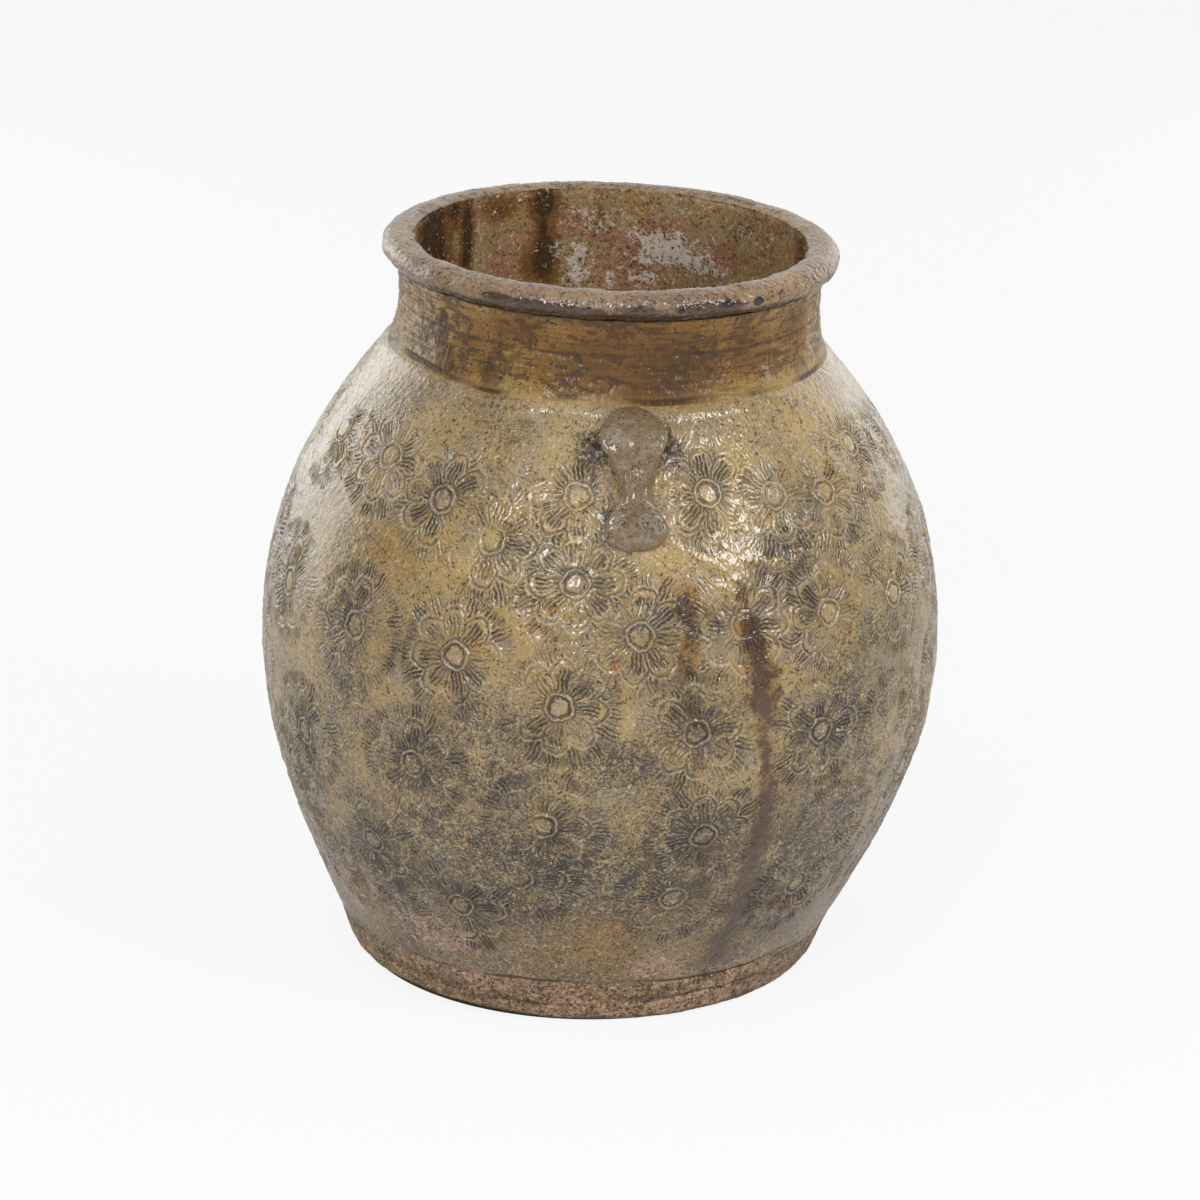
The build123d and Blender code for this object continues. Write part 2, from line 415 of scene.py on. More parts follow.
# Height to arc length along the outside, for spacing on the surface
arc_heights = np.linspace(0, NECK_SEAM + NECK_HEIGHT, 3001)
arc_steps = np.hypot(np.diff(arc_heights), np.diff(outer_radius(arc_heights)))
arc_lengths = np.concatenate([[0], np.cumsum(arc_steps)])


def arc_at(height):
    return np.interp(height, arc_heights, arc_lengths)


# Flower stamps that the photograph shows, by the pixel of their centres
SHOWN_STAMPS = (
    (390, 455), (442, 499), (491, 540), (578, 496), (575, 584), (354, 625), (454, 656), (559, 708),
    (412, 764), (543, 827), (519, 879), (372, 841), (460, 906), (708, 493), (775, 495), (825, 491),
    (640, 637), (745, 626), (830, 612), (894, 593), (697, 734), (822, 731), (891, 724), (704, 837),
    (829, 830), (673, 899), (343, 428), (288, 581), (304, 731), (850, 443),
)
# Rows of stamps round the back, as in the CAD model: share of the height, first and last turn, and count
BACK_ROWS = (
    (0.88, 0.22, 0.73, 9), (0.67, 0.205, 0.745, 11), (0.48, 0.2, 0.76, 11), (0.32, 0.17, 0.8, 12),
    (0.17, 0.1, 0.835, 12),
)


def stamp_places():
    """Azimuths and heights of all the stamps: those shown, and rows of them round the back."""
    places = [cast(u, v) for u, v in SHOWN_STAMPS]
    for height_share, first, last, count in BACK_ROWS:
        height = blend(BASE_HEIGHT, NECK_SEAM, height_share)
        places += [(TURN * turn, height) for turn in np.linspace(first, last, count)]
    return np.array(places)


stamps = stamp_places()
# Most that a stamp is turned, in radians, and that it gains over its neighbours, in square mm
STAMP_TURN = 0.14
STAMP_WEIGHT = 60
stamp_turns = rng.uniform(-STAMP_TURN, STAMP_TURN, len(stamps))
stamp_weights = rng.uniform(-STAMP_WEIGHT, STAMP_WEIGHT, len(stamps))
stamp_seeds = rng.uniform(0, 1, len(stamps))


def nearest_stamp(azimuth, height):
    """For a grid of places, the stamp that pressed each one last."""
    best = np.full(np.broadcast_shapes(azimuth.shape, height.shape), 1e9)
    owner = np.zeros(best.shape, int)
    arc = arc_at(height)
    radius = outer_radius(height)
    for index, (place, level) in enumerate(stamps):
        turn = turn_from(azimuth, place)
        reach = (turn * (radius + outer_radius(level)) / 2) ** 2 + (arc - arc_at(level)) ** 2
        reach = reach + stamp_weights[index]
        closer = reach < best
        best[closer] = reach[closer]
        owner[closer] = index
    return owner


def stamp_coordinates(azimuth, height, owner):
    """Places in mm across and along a stamp, turned to its own direction."""
    place = stamps[owner, 0]
    level = stamps[owner, 1]
    across = turn_from(azimuth, place) * (outer_radius(height) + outer_radius(level)) / 2
    along = arc_at(height) - arc_at(level)
    cosines, sines = np.cos(stamp_turns[owner]), np.sin(stamp_turns[owner])
    return across * cosines - along * sines, across * sines + along * cosines


# Marks of the fire, glaze and wear, and some painted shadow: pixel of the centre, half width and half height
# in mm, strength

# Smudges of the fire, with painted shadow beside the near lug: the marks at (593, 450) and (664, 447) by its
# root and at (608, 520) along its strap
SMUDGES_AND_SHADOWS = (
    (395, 895, 9, 24, 1.0), (370, 850, 14, 12, 0.8), (345, 690, 14, 26, 0.6), (415, 765, 18, 16, 0.8),
    (540, 860, 34, 16, 0.9), (500, 900, 30, 10, 0.7), (625, 765, 15, 9, 0.9), (690, 840, 26, 20, 0.6),
    (640, 890, 32, 12, 0.6), (770, 860, 14, 26, 0.7), (820, 830, 22, 22, 0.8), (895, 800, 18, 24, 0.7),
    (500, 780, 16, 14, 0.6), (310, 760, 14, 28, 0.7), (330, 640, 12, 20, 0.5), (720, 960, 10, 12, 0.7),
    (390, 410, 24, 12, 0.35), (610, 445, 14, 14, 0.5), (820, 730, 18, 16, 0.6), (350, 610, 14, 16, 0.6),
    (480, 720, 16, 14, 0.5), (590, 690, 12, 10, 0.4), (700, 730, 18, 16, 0.5), (430, 830, 20, 14, 0.6),
    (593, 450, 6, 9, 1.7), (664, 447, 6, 8, 1.7), (608, 520, 3, 12, 0.9), (790, 560, 12, 10, 0.4),
    (440, 490, 16, 12, 0.4), (850, 690, 14, 20, 0.5), (735, 920, 8, 14, 0.8),
)
CLAY_PATCHES = (
    (430, 930, 26, 12, 1.1), (380, 890, 14, 16, 0.8), (345, 880, 10, 24, 1.0), (655, 968, 16, 9, 1.0),
    (480, 975, 60, 7, 0.6), (740, 960, 40, 10, 0.5), (800, 900, 20, 16, 0.5), (700, 1000, 60, 6, 0.6),
)
AMBER_PATCHES = (
    (385, 555, 20, 18, 0.9), (520, 520, 18, 10, 0.7), (600, 560, 20, 12, 0.5), (480, 480, 14, 12, 0.5),
    (690, 600, 9, 16, 0.9), (603, 945, 17, 16, 1.4), (545, 955, 16, 8, 0.8), (840, 560, 18, 20, 0.4),
    (610, 500, 16, 18, 0.5), (688, 660, 7, 10, 0.9), (590, 640, 22, 12, 0.4), (450, 600, 18, 12, 0.4),
    (700, 770, 8, 8, 0.6), (330, 560, 10, 14, 0.6), (560, 780, 16, 10, 0.3), (800, 640, 12, 12, 0.3),
)
RUST_SPOTS = ((613, 672, 3.5, 7, 0.8), (618, 690, 4, 3, 0.8), (664, 690, 4, 3, 0.5), (508, 590, 3, 3, 0.4))
NECK_BROWNS = (
    (668, 368, 26, 18, 1.3), (600, 360, 24, 16, 0.9), (550, 372, 16, 10, 0.5), (740, 350, 22, 14, 0.6),
    (470, 350, 16, 16, 0.45), (520, 330, 20, 8, 0.5), (790, 330, 14, 12, 0.5), (640, 330, 50, 5, 0.7),
)
NECK_DRIPS = (
    (443, 335, 3.2, 13, 1.4), (449, 362, 2.6, 7, 1.2), (428, 367, 2.6, 1, 1.6), (437, 372, 2.6, 1, 1.6),
    (447, 377, 2.6, 1, 1.6), (735, 389, 5, 0.9, 1.4), (755, 389, 5, 0.9, 1.4), (387, 354, 1.3, 1.3, 1.8),
    (468, 345, 3.5, 16, 0.6), (485, 375, 5, 10, 0.6), (422, 330, 1.6, 9, 0.5), (500, 345, 2, 12, 0.5),
    (530, 350, 2.2, 10, 0.4), (650, 350, 5, 16, 0.5), (715, 350, 3, 14, 0.5), (770, 350, 2, 14, 0.5),
    (400, 350, 2, 12, 0.4),
)
# Runs of glaze down the wall: pixels along the middle, half width in mm, and strength
RUNS = (
    ((740, 585, 3, 0.5), (750, 625, 5, 0.8), (760, 660, 7, 1.0), (768, 700, 6, 0.9), (764, 735, 5, 0.6),
     (768, 780, 4.5, 0.7), (764, 820, 5, 0.6), (750, 870, 6, 0.6), (738, 915, 7, 0.75), (712, 960, 9, 0.7)),
    ((688, 585, 4, 0.4), (690, 640, 5, 0.55), (684, 680, 4, 0.4), (700, 740, 3, 0.4), (700, 780, 3, 0.3)),
    ((703, 800, 2, 0.3), (700, 900, 4, 0.35)),
)
# Glaze pooled dark under the rim's front, and black spots on it
RIM_POOLS = (
    (500, 300, 9, 2.6, 1.3), (530, 305, 10, 2.6, 1.3), (560, 309, 10, 2.6, 1.3), (590, 312, 10, 2.6, 1.0),
    (640, 312, 16, 4, 0.9), (700, 306, 12, 2.6, 1.3), (730, 303, 8, 2.6, 1.1), (565, 318, 16, 7, 1.0),
    (712, 322, 14, 6, 0.9), (640, 322, 18, 5, 0.8), (450, 300, 12, 6, 0.7), (505, 312, 12, 5, 0.8),
    (770, 312, 12, 5, 0.7),
)
RIM_SPOTS = (
    (727, 301, 2.6, 2.2, 1.0), (757, 298, 2.8, 2.2, 1.0), (681, 310, 2, 1.6, 0.8), (745, 300, 2, 1.2, 0.6),
    (590, 308, 1.6, 1.2, 0.6), (820, 262, 1.2, 1.2, 0.6),
)
# Marks on the inside that the mouth shows
INSIDE_CLAY = (
    (500, 265, 9, 9, 1.0), (562, 227, 9, 7, 1.0), (620, 268, 14, 12, 1.0), (727, 254, 9, 7, 1.0),
    (640, 235, 40, 3.5, 0.9), (690, 225, 26, 4, 0.6), (770, 240, 10, 10, 0.7), (530, 235, 10, 4, 0.6),
)
INSIDE_CRUST = (
    (578, 265, 6, 14, 1.0), (672, 250, 13, 6, 0.9), (700, 262, 16, 5, 0.8), (640, 258, 8, 4, 0.6),
    (600, 225, 10, 4, 0.5), (745, 232, 12, 4, 0.6), (560, 252, 5, 6, 0.6), (680, 240, 22, 5, 0.7),
    (590, 215, 12, 3, 0.5), (640, 275, 16, 4, 0.5),
)
INSIDE_RUNS = (
    (545, 203, 6, 9, 1.2), (543, 228, 3, 9, 1.0), (545, 258, 6, 13, 1.2), (467, 240, 4, 22, 1.1),
    (432, 240, 15, 26, 1.3), (537, 265, 7, 8, 0.9), (600, 215, 2, 8, 0.4), (455, 215, 9, 8, 0.8),
    (800, 250, 8, 20, 0.6), (500, 210, 10, 6, 0.5),
)


# The marks of the outside and of the inside: field's name, marks, how many more are unseen, and a seed
OUTSIDE_MARKS = (
    ("smudge", SMUDGES_AND_SHADOWS, 22, 51), ("clay", CLAY_PATCHES, 10, 52), ("amber", AMBER_PATCHES, 9, 53),
    ("rust", RUST_SPOTS, 5, 55), ("brown", NECK_BROWNS, 8, 57), ("drip", NECK_DRIPS, 9, 58),
)
INSIDE_MARKS = (("clay", INSIDE_CLAY, 9, 63), ("crust", INSIDE_CRUST, 8, 64), ("drip", INSIDE_RUNS, 8, 65))
# Marks on the unseen side lie within this half turn, in radians, and this spread of heights, in mm
UNSEEN_HALF = 1.5
LEVEL_SPREAD = 25


def patch_field(marks, azimuth, height, extra, seed, find=cast, radius=None):
    """How strongly some marks cover each place, with some more like them on the side that isn't seen."""
    draw = np.random.default_rng(seed)
    places = [(*find(u, v), wide, tall, strength) for u, v, wide, tall, strength in marks]
    unseen = CAMERA_AZIMUTH + (0 if find is cast_inside else math.pi)
    for _ in range(extra):
        place = unseen + draw.uniform(-UNSEEN_HALF, UNSEEN_HALF)
        _, level, wide, tall, strength = places[draw.integers(len(marks))]
        level = level + draw.uniform(-LEVEL_SPREAD, LEVEL_SPREAD) * (radius is None)
        places.append((place, level, wide, tall, strength))
    total = np.zeros(np.broadcast_shapes(azimuth.shape, height.shape))
    for place, level, wide, tall, strength in places:
        rise = arc_at(height) - arc_at(level) if radius is None else height - level
        side = turn_from(azimuth, place) * (outer_radius(height) if radius is None else radius)
        reach = (side / wide) ** 2 + (rise / tall) ** 2
        total = np.maximum(total, strength * np.exp(-reach))
    return total


# Each run comes again on the unseen side, turned by this much, and by more for each further run
SECOND_RUN_TURN = 2.6
NEXT_RUN_TURN = 0.7


def run_field(azimuth, height):
    """How strongly the long runs of glaze cover each place of the outside."""
    total = np.zeros(np.broadcast_shapes(azimuth.shape, height.shape))
    for index, run in enumerate(RUNS):
        places = np.array([(*cast(u, v), width, strength) for u, v, width, strength in run])[::-1]
        azimuths, levels, widths, strengths = places.T
        sway = 0.3 * unevenness(azimuth * 0, height, 56 + index, 16)
        width = np.interp(height, levels, widths) * (1 + sway)
        lowest, highest = levels[0], levels[-1]
        ends = smooth(height, lowest - 8, lowest + 4) * (1 - smooth(height, highest - 2, highest + 8))
        strength = np.interp(height, levels, strengths) * ends
        for turn in (0, SECOND_RUN_TURN + index * NEXT_RUN_TURN):
            middle = np.interp(height, levels, azimuths) + turn
            side = turn_from(azimuth, middle) * outer_radius(height)
            total = np.maximum(total, strength * np.exp(-(side / width) ** 2))
    return total


# Relief of the outside, in mm below the smooth surface

# The azimuths of the lugs, and the thumb hollow behind each
LUG_CENTRES = (0.0, math.pi)
HOLLOW_HEIGHT = NECK_SEAM - 11
HOLLOW_RADIUS = 8
HOLLOW_DEPTH = 3.6
HOLLOW_HALF_LENGTH = 22
# The stamps: depth of their lines, and of their hollows as a share of it, and where they begin and end
STAMP_DEPTH = 0.72
HOLLOW_SHARE = 0.5
STAMPS_BEGIN = (25, 37)
STAMPS_END = (243, 256)
# The ground round each lug that no stamp touched: its middle, its half height and width, and its fade
BARE_HEIGHT = 238
BARE_HALF_HEIGHT = 12
BARE_HALF_WIDTH = 15
BARE_FADE = 12
# Depth that leaves room for what stands out of the surface
CLEARANCE = 0.3
# The foot's worn edge: azimuth, half width in radians, depth and height
WORN_PLACE = -0.9
WORN_REACH = 0.6
WORN_DEPTH = 2.4
WORN_HEIGHT = 7
# Levels of the lines round the jar, and of the low ridge under the neck's groove
SEAM_LEVEL = BASE_HEIGHT + 1.6
SECOND_LEVEL = BASE_HEIGHT - 9.6
LUTING_LEVEL = NECK_SEAM + 1.6
RIDGE_DROP = 3.8
NECK_LINE_LEVEL = NECK_SEAM + 19.5
# Turning marks of the neck: their depth, then spacing, how far they wander, and two seeds
TURNING_DEPTH = 0.11
TURNING_MARKS = ((1.35, 1.4, 44, 47), (2.3, 1.1, 45, 48))


def press_field(azimuth, height):
    """How firmly the stamps were pressed, from 0 to 1."""
    field = 0.76 + 0.24 * unevenness(azimuth, height, 11, 60) + 0.18 * unevenness(azimuth, height, 12, 18)
    stamps_end = STAMPS_END[0] + 4 * wander(azimuth, 13, 3, 12)
    field = field * smooth(height, *STAMPS_BEGIN) * (1 - smooth(height, stamps_end, STAMPS_END[1]))
    for centre in LUG_CENTRES:
        side = np.abs(turn_from(azimuth, centre)) * outer_radius(height)
        rise = np.maximum(np.abs(height - BARE_HEIGHT) - BARE_HALF_HEIGHT, 0)
        field = field * smooth(np.hypot(side / BARE_HALF_WIDTH, rise / BARE_FADE), 0.8, 1.15)
    return clip(field)


def stamp_relief(azimuth, height, owner):
    """The stamped flowers."""
    x, y, left = worn(*stamp_coordinates(azimuth, height, owner), stamp_seeds[owner])
    rings, lines, hollow = stamp_parts(x, y)
    cut = larger(rings, lines * left) + HOLLOW_SHARE * hollow
    return STAMP_DEPTH * press_field(azimuth, height) * cut


def clay_relief(azimuth, height):
    """The unevenness of the thrown clay, and the foot's edge where it is worn on the left."""
    waves = 0.12 * unevenness(azimuth, height, 21, 30) + 0.05 * unevenness(azimuth, height, 22, 6)
    waves = waves + 0.035 * unevenness(azimuth, height, 23, 2.4, 60)
    near = np.exp(-(turn_from(azimuth, WORN_PLACE) / WORN_REACH) ** 2)
    return waves + WORN_DEPTH * near * (1 - smooth(height, 0, WORN_HEIGHT)) ** 2


def foot_relief(azimuth, height):
    """The seam above the foot band, and the second line below it."""
    seam = SEAM_LEVEL + 0.9 * wander(azimuth, 31, 2, 9) + 0.25 * wander(azimuth, 32, 10, 70)
    seam_press = clip(0.85 + 0.3 * wander(azimuth, 33, 2, 14))
    second = SECOND_LEVEL + 0.8 * wander(azimuth, 34, 2, 12) + 0.3 * wander(azimuth, 35, 12, 80)
    second_press = clip(0.5 + 0.6 * wander(azimuth, 36, 2, 9))
    depth = 0.9 * seam_press * groove(height, seam, 1.3) * (1 - smooth(height, 30, 36))
    return depth + 0.7 * second_press * groove(height, second, 1.1)


def neck_relief(azimuth, height):
    """The groove where the neck is luted on, the ridge under it, and the neck's turning marks."""
    luting = LUTING_LEVEL + 0.8 * wander(azimuth, 41, 2, 9) + 0.2 * wander(azimuth, 42, 9, 50)
    luting_press = clip(0.45 + 0.5 * wander(azimuth, 43, 2, 20))
    depth = 0.9 * luting_press * groove(height, luting, 1.5) - 0.5 * groove(height, luting - RIDGE_DROP, 2.6)
    turning = 0.1 * unevenness(azimuth * 0.35, height, 49, 5)
    turning = turning + 0.3 * groove(height, NECK_LINE_LEVEL + 0.4 * wander(azimuth, 46, 1, 6), 1.2)
    for spacing, sway, sway_seed, press_seed in TURNING_MARKS:
        mark = np.sin(height * TURN / spacing + sway * wander(azimuth, sway_seed, 1, 4))
        turning = turning + TURNING_DEPTH * mark * (0.4 + 0.3 * wander(azimuth, press_seed, 1, 9))
    return depth + turning * smooth(height, NECK_SEAM + 2, NECK_SEAM + 7)


def thumb_hollows(azimuth, height):
    """The hollows behind the lugs, the same dishes as in the CAD model."""
    depth = 0
    along = arc_at(height) - arc_at(HOLLOW_HEIGHT)
    for centre in LUG_CENTRES:
        side = turn_from(azimuth, centre) * outer_radius(height)
        bowl = HOLLOW_RADIUS ** 2 * (1 - (side / HOLLOW_HALF_LENGTH) ** 2) - along ** 2
        bowl = np.sqrt(np.maximum(bowl, 0)) - (HOLLOW_RADIUS - HOLLOW_DEPTH)
        depth = depth + np.maximum(bowl, 0)
    return depth


def relief_field(azimuth, height, owner):
    """Depth below the smooth surface over a grid of azimuths and heights."""
    depth = CLEARANCE + stamp_relief(azimuth, height, owner)
    for layer in (clay_relief, foot_relief, neck_relief, thumb_hollows):
        depth = depth + layer(azimuth, height)
    return depth


# Meshes

def add_object(name, data):
    """A new object in the scene."""
    piece = bpy.data.objects.new(name, data)
    bpy.context.scene.collection.objects.link(piece)
    return piece


def fill(collection, count, **numbers):
    """Adds elements to a mesh and gives them their numbers."""
    collection.add(count)
    for name, values in numbers.items():
        collection.foreach_set(name, values)


def strip_faces(first, second):
    """Faces between two rings of vertex numbers, where one may have fewer points than the other."""
    count = max(len(first), len(second))
    near = np.arange(count)
    far = (near + 1) % count
    a = first[near * len(first) // count]
    b = first[far * len(first) // count]
    c = second[far * len(second) // count]
    d = second[near * len(second) // count]
    faces = []
    for quad in zip(a, b, c, d):
        corners = [corner for place, corner in enumerate(quad) if corner != quad[place - 1]]
        faces.append(corners)
    return faces


def grid_quads(rows, columns, offset):
    """Faces of a grid of points that closes on itself round the jar."""
    row = np.arange(rows - 1)[:, None] * columns
    near = np.arange(columns)[None, :]
    far = (near + 1) % columns
    quads = np.stack([row + near, row + far, row + columns + far, row + columns + near], axis=-1)
    return quads.reshape(-1, 4) + offset


def make_shell(name, bands, closed):
    """A mesh of bands of rings, each joined to the next, and the last to the first if closed.

    Each band is a grid of points and normals. Returns the object and, for each band, the places of its quads.
    """
    points = np.concatenate([band[0].reshape(-1, 3) for band in bands])
    normals = np.concatenate([band[1].reshape(-1, 3) for band in bands])
    offsets = np.cumsum([0] + [band[0].size // 3 for band in bands])
    quads, spans, start = [], [], 0
    for band, offset in zip(bands, offsets):
        rows, columns = band[0].shape[:2]
        faces = grid_quads(rows, columns, offset) if columns > 1 else np.zeros((0, 4), int)
        quads.append(faces)
        spans.append((start, start + len(faces)))
        start += len(faces)
    strips = []
    pairs = list(zip(range(len(bands)), range(1, len(bands)))) + ([(len(bands) - 1, 0)] if closed else [])
    for one, other in pairs:
        rows, columns = bands[one][0].shape[:2]
        last = offsets[one] + (rows - 1) * columns + np.arange(columns)
        first = offsets[other] + np.arange(bands[other][0].shape[1])
        strips += strip_faces(last, first)
    quads = np.concatenate(quads)
    loops = np.concatenate([quads.reshape(-1), np.array([corner for face in strips for corner in face], int)])
    totals = np.concatenate([np.full(len(quads), 4), np.array([len(face) for face in strips], int)])
    starts = np.concatenate([[0], np.cumsum(totals)[:-1]])
    mesh = bpy.data.meshes.new(name)
    fill(mesh.vertices, len(points), co=(points * MM).astype(np.float32).reshape(-1))
    fill(mesh.loops, len(loops), vertex_index=loops.astype(np.int32))
    smooth_faces = np.ones(len(totals), bool)
    starts, totals = starts.astype(np.int32), totals.astype(np.int32)
    fill(mesh.polygons, len(totals), loop_start=starts, loop_total=totals, use_smooth=smooth_faces)
    mesh.update(calc_edges=True)
    mesh.validate()
    mesh.normals_split_custom_set_from_vertices(normals.tolist())
    return add_object(name, mesh), spans


def add_attribute(piece, name, values):
    """Numbers for the material, one for each vertex of the piece."""
    attribute = piece.data.attributes.new(name, "FLOAT", "POINT")
    attribute.data.foreach_set("value", values.astype(np.float32).reshape(-1))


def mount(piece, node):
    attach(piece, "root")
    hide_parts(node)


def rows_between(low, high, step):
    """Evenly spaced heights from low to high, about a step apart over the surface."""
    count = max(2, int(math.ceil((arc_at(high) - arc_at(low)) / step)))
    return np.interp(np.linspace(arc_at(low), arc_at(high), count + 1), arc_lengths, arc_heights)


columns = column_azimuths()
inside_columns = columns[::INSIDE_STRIDE]

foot_rows = rows_between(0, BASE_HEIGHT, ROW_STEP)
lower_rows = rows_between(BASE_HEIGHT, BELLY_HEIGHT, ROW_STEP)
upper_rows = rows_between(BELLY_HEIGHT, NECK_SEAM, ROW_STEP)
neck_rows = rows_between(NECK_SEAM, NECK_SEAM + NECK_HEIGHT, ROW_STEP * 0.8)

outer_heights = np.concatenate([foot_rows, lower_rows[1:], upper_rows[1:], neck_rows[1:]])
grid_azimuth, grid_height = np.meshgrid(columns, outer_heights)
smooth_points = ring_points(grid_azimuth, outer_radius(grid_height), grid_height)
stamp_owner = nearest_stamp(grid_azimuth, grid_height)
grid_relief = relief_field(grid_azimuth, grid_height, stamp_owner)
outer_points = smooth_points - grid_normals(smooth_points) * grid_relief[..., None]
outer_points[0] = smooth_points[0]
outer_normals = grid_normals(outer_points)
fields = {
    "relief": grid_relief,
    "press": press_field(grid_azimuth, grid_height),
    "run": run_field(grid_azimuth, grid_height),
}
for mark, marks, extra, seed in OUTSIDE_MARKS:
    fields[mark] = patch_field(marks, grid_azimuth, grid_height, extra, seed)


def outer_slice(low, high):
    """Rows of the outside grid from one height to another."""
    first = int(np.argmin(np.abs(outer_heights - low)))
    last = int(np.argmin(np.abs(outer_heights - high)))
    return slice(first, last + 1)


def inside_band(radii, heights):
    """A band of coarse rings on an inside face, from its own radii and heights."""
    azimuth, height = np.meshgrid(inside_columns, heights)
    radius = np.broadcast_to(np.asarray(radii)[:, None], azimuth.shape)
    sway = 0.25 * unevenness(azimuth, height, 61, 40)
    points = ring_points(azimuth, radius + np.minimum(sway, 0.2), height)
    return points, grid_normals(points)


def inside_fields(azimuths, heights):
    """The marks on an inside face, as grids that fit its rings."""
    azimuth, height = np.meshgrid(azimuths, heights)
    return {
        name: patch_field(marks, azimuth, height, extra, seed, cast_inside, MOUTH_RADIUS)
        for name, marks, extra, seed in INSIDE_MARKS
    }


def pole_band(height, direction):
    point = ring_points(np.zeros((1, 1)), np.zeros((1, 1)), np.full((1, 1), float(height)))
    return point, np.array([[[0, 0, float(direction)]]])


def make_wall(name, low, high, ring_count):
    """A wall piece between two heights: its fine outside, and some rings of a plain inside.

    Returns the object, and the rows and the span of its outside.
    """
    rows = outer_slice(low, high)
    inner_heights = np.linspace(high, low, ring_count)
    on_neck = low >= NECK_SEAM
    inner_radii = np.full(ring_count, MOUTH_RADIUS) if on_neck else inner_radius(inner_heights)
    inner = inside_band(inner_radii, inner_heights)
    bands = [(outer_points[rows], outer_normals[rows]), inner]
    piece, spans = make_shell(name, bands, True)
    outer_count = outer_points[rows].size // 3
    inner_count = inner[0].size // 3
    marks = inside_fields(inside_columns, inner_heights)
    for field in sorted({*fields, *marks}):
        outer_part = fields[field][rows].reshape(-1) if field in fields else np.zeros(outer_count)
        inner_part = marks[field].reshape(-1) if field in marks else np.zeros(inner_count)
        add_attribute(piece, field, np.concatenate([outer_part, inner_part]))
    return piece, rows, spans[0]


def add_stamps(piece, rows, span):
    """Coordinates of the nearest stamp on each corner of the outside faces."""
    corners = np.full((len(piece.data.loops), 3), 99.0)
    azimuth, height, owner = grid_azimuth[rows], grid_height[rows], stamp_owner[rows]
    quad_owner = owner[:-1]
    x_parts, y_parts = [], []
    for down, along in ((0, 0), (0, 1), (1, 1), (1, 0)):
        corner_azimuth = np.roll(azimuth, -along, axis=1)[down:len(azimuth) - 1 + down]
        corner_height = height[down:len(height) - 1 + down]
        x, y = stamp_coordinates(corner_azimuth, corner_height, quad_owner)
        x_parts.append(x)
        y_parts.append(y)
    count = (span[1] - span[0]) * 4
    corners[:count, 0] = np.stack(x_parts, axis=-1).reshape(-1)
    corners[:count, 1] = np.stack(y_parts, axis=-1).reshape(-1)
    corners[:count, 2] = np.repeat(stamp_seeds[quad_owner].reshape(-1), 4)
    attribute = piece.data.attributes.new("stamp", "FLOAT_VECTOR", "CORNER")
    attribute.data.foreach_set("vector", corners.astype(np.float32).reshape(-1))


# Rings of the plain faces: the underside, the floor's corner and the floor, with the radius of the innermost
UNDER_RINGS = 10
CORNER_RINGS = 8
FLOOR_RINGS = 12
INNERMOST_UNDER = 4
INNERMOST_FLOOR = 3


def make_base():
    """The foot disc with its band, its flat underside and the jar's floor."""
    rows = outer_slice(0, BASE_HEIGHT)
    under_radii = np.linspace(INNERMOST_UNDER, float(outer_radius(0)) - 2, UNDER_RINGS)
    azimuth, radius = np.meshgrid(inside_columns, under_radii)
    under = ring_points(azimuth, radius, np.zeros_like(radius))
    under_normals = np.zeros_like(under)
    under_normals[..., 2] = -1
    corner = np.linspace(0, math.pi / 2, CORNER_RINGS)
    corner_radii = inner_radius(FLOOR_THICKNESS) - FLOOR_CORNER * (1 - np.cos(corner))
    corner_heights = FLOOR_THICKNESS + FLOOR_CORNER * (1 - np.sin(corner))
    floor_radii = np.linspace(corner_radii[-1], INNERMOST_FLOOR, FLOOR_RINGS)[1:]
    radii = np.concatenate([[inner_radius(BASE_HEIGHT)], corner_radii, floor_radii])
    floor_heights = np.full(len(floor_radii), FLOOR_THICKNESS)
    heights = np.concatenate([[BASE_HEIGHT], corner_heights - 0.01, floor_heights])
    inner = inside_band(radii, heights)
    bands = [
        pole_band(0, -1), (under, under_normals), (outer_points[rows], outer_normals[rows]),
        inner, pole_band(FLOOR_THICKNESS, 1),
    ]
    piece, spans = make_shell("base", bands, False)
    before = 1 + under.size // 3
    after = inner[0].size // 3 + 1
    for field, values in fields.items():
        padded = np.concatenate([np.zeros(before), values[rows].reshape(-1), np.zeros(after)])
        add_attribute(piece, field, padded)
    return piece


# The rim's roll: the angles between which it is round, in degrees, and the levels of its lip and undercut
ROLL_TURNS = (-62, 132)
LIP_LEVEL = NECK_SEAM + 45.4
UNDERCUT_LEVEL = NECK_SEAM + 36.2
# Radii up to which the lip is chipped, and from which the roll is undercut
LIP_REACH = 85
UNDERCUT_REACH = 88
# Rings over the roll and down the bore, and the length along the roll between two of them
ROLL_RINGS = int(64 / FINENESS)
BORE_RINGS = int(18 / FINENESS)
ROLL_STEP = 0.8 * FINENESS
# The roll's swelling at the rear: most in mm, and the azimuth where it is most
REAR_SWELL = 1.1
REAR_PLACE = 2.0


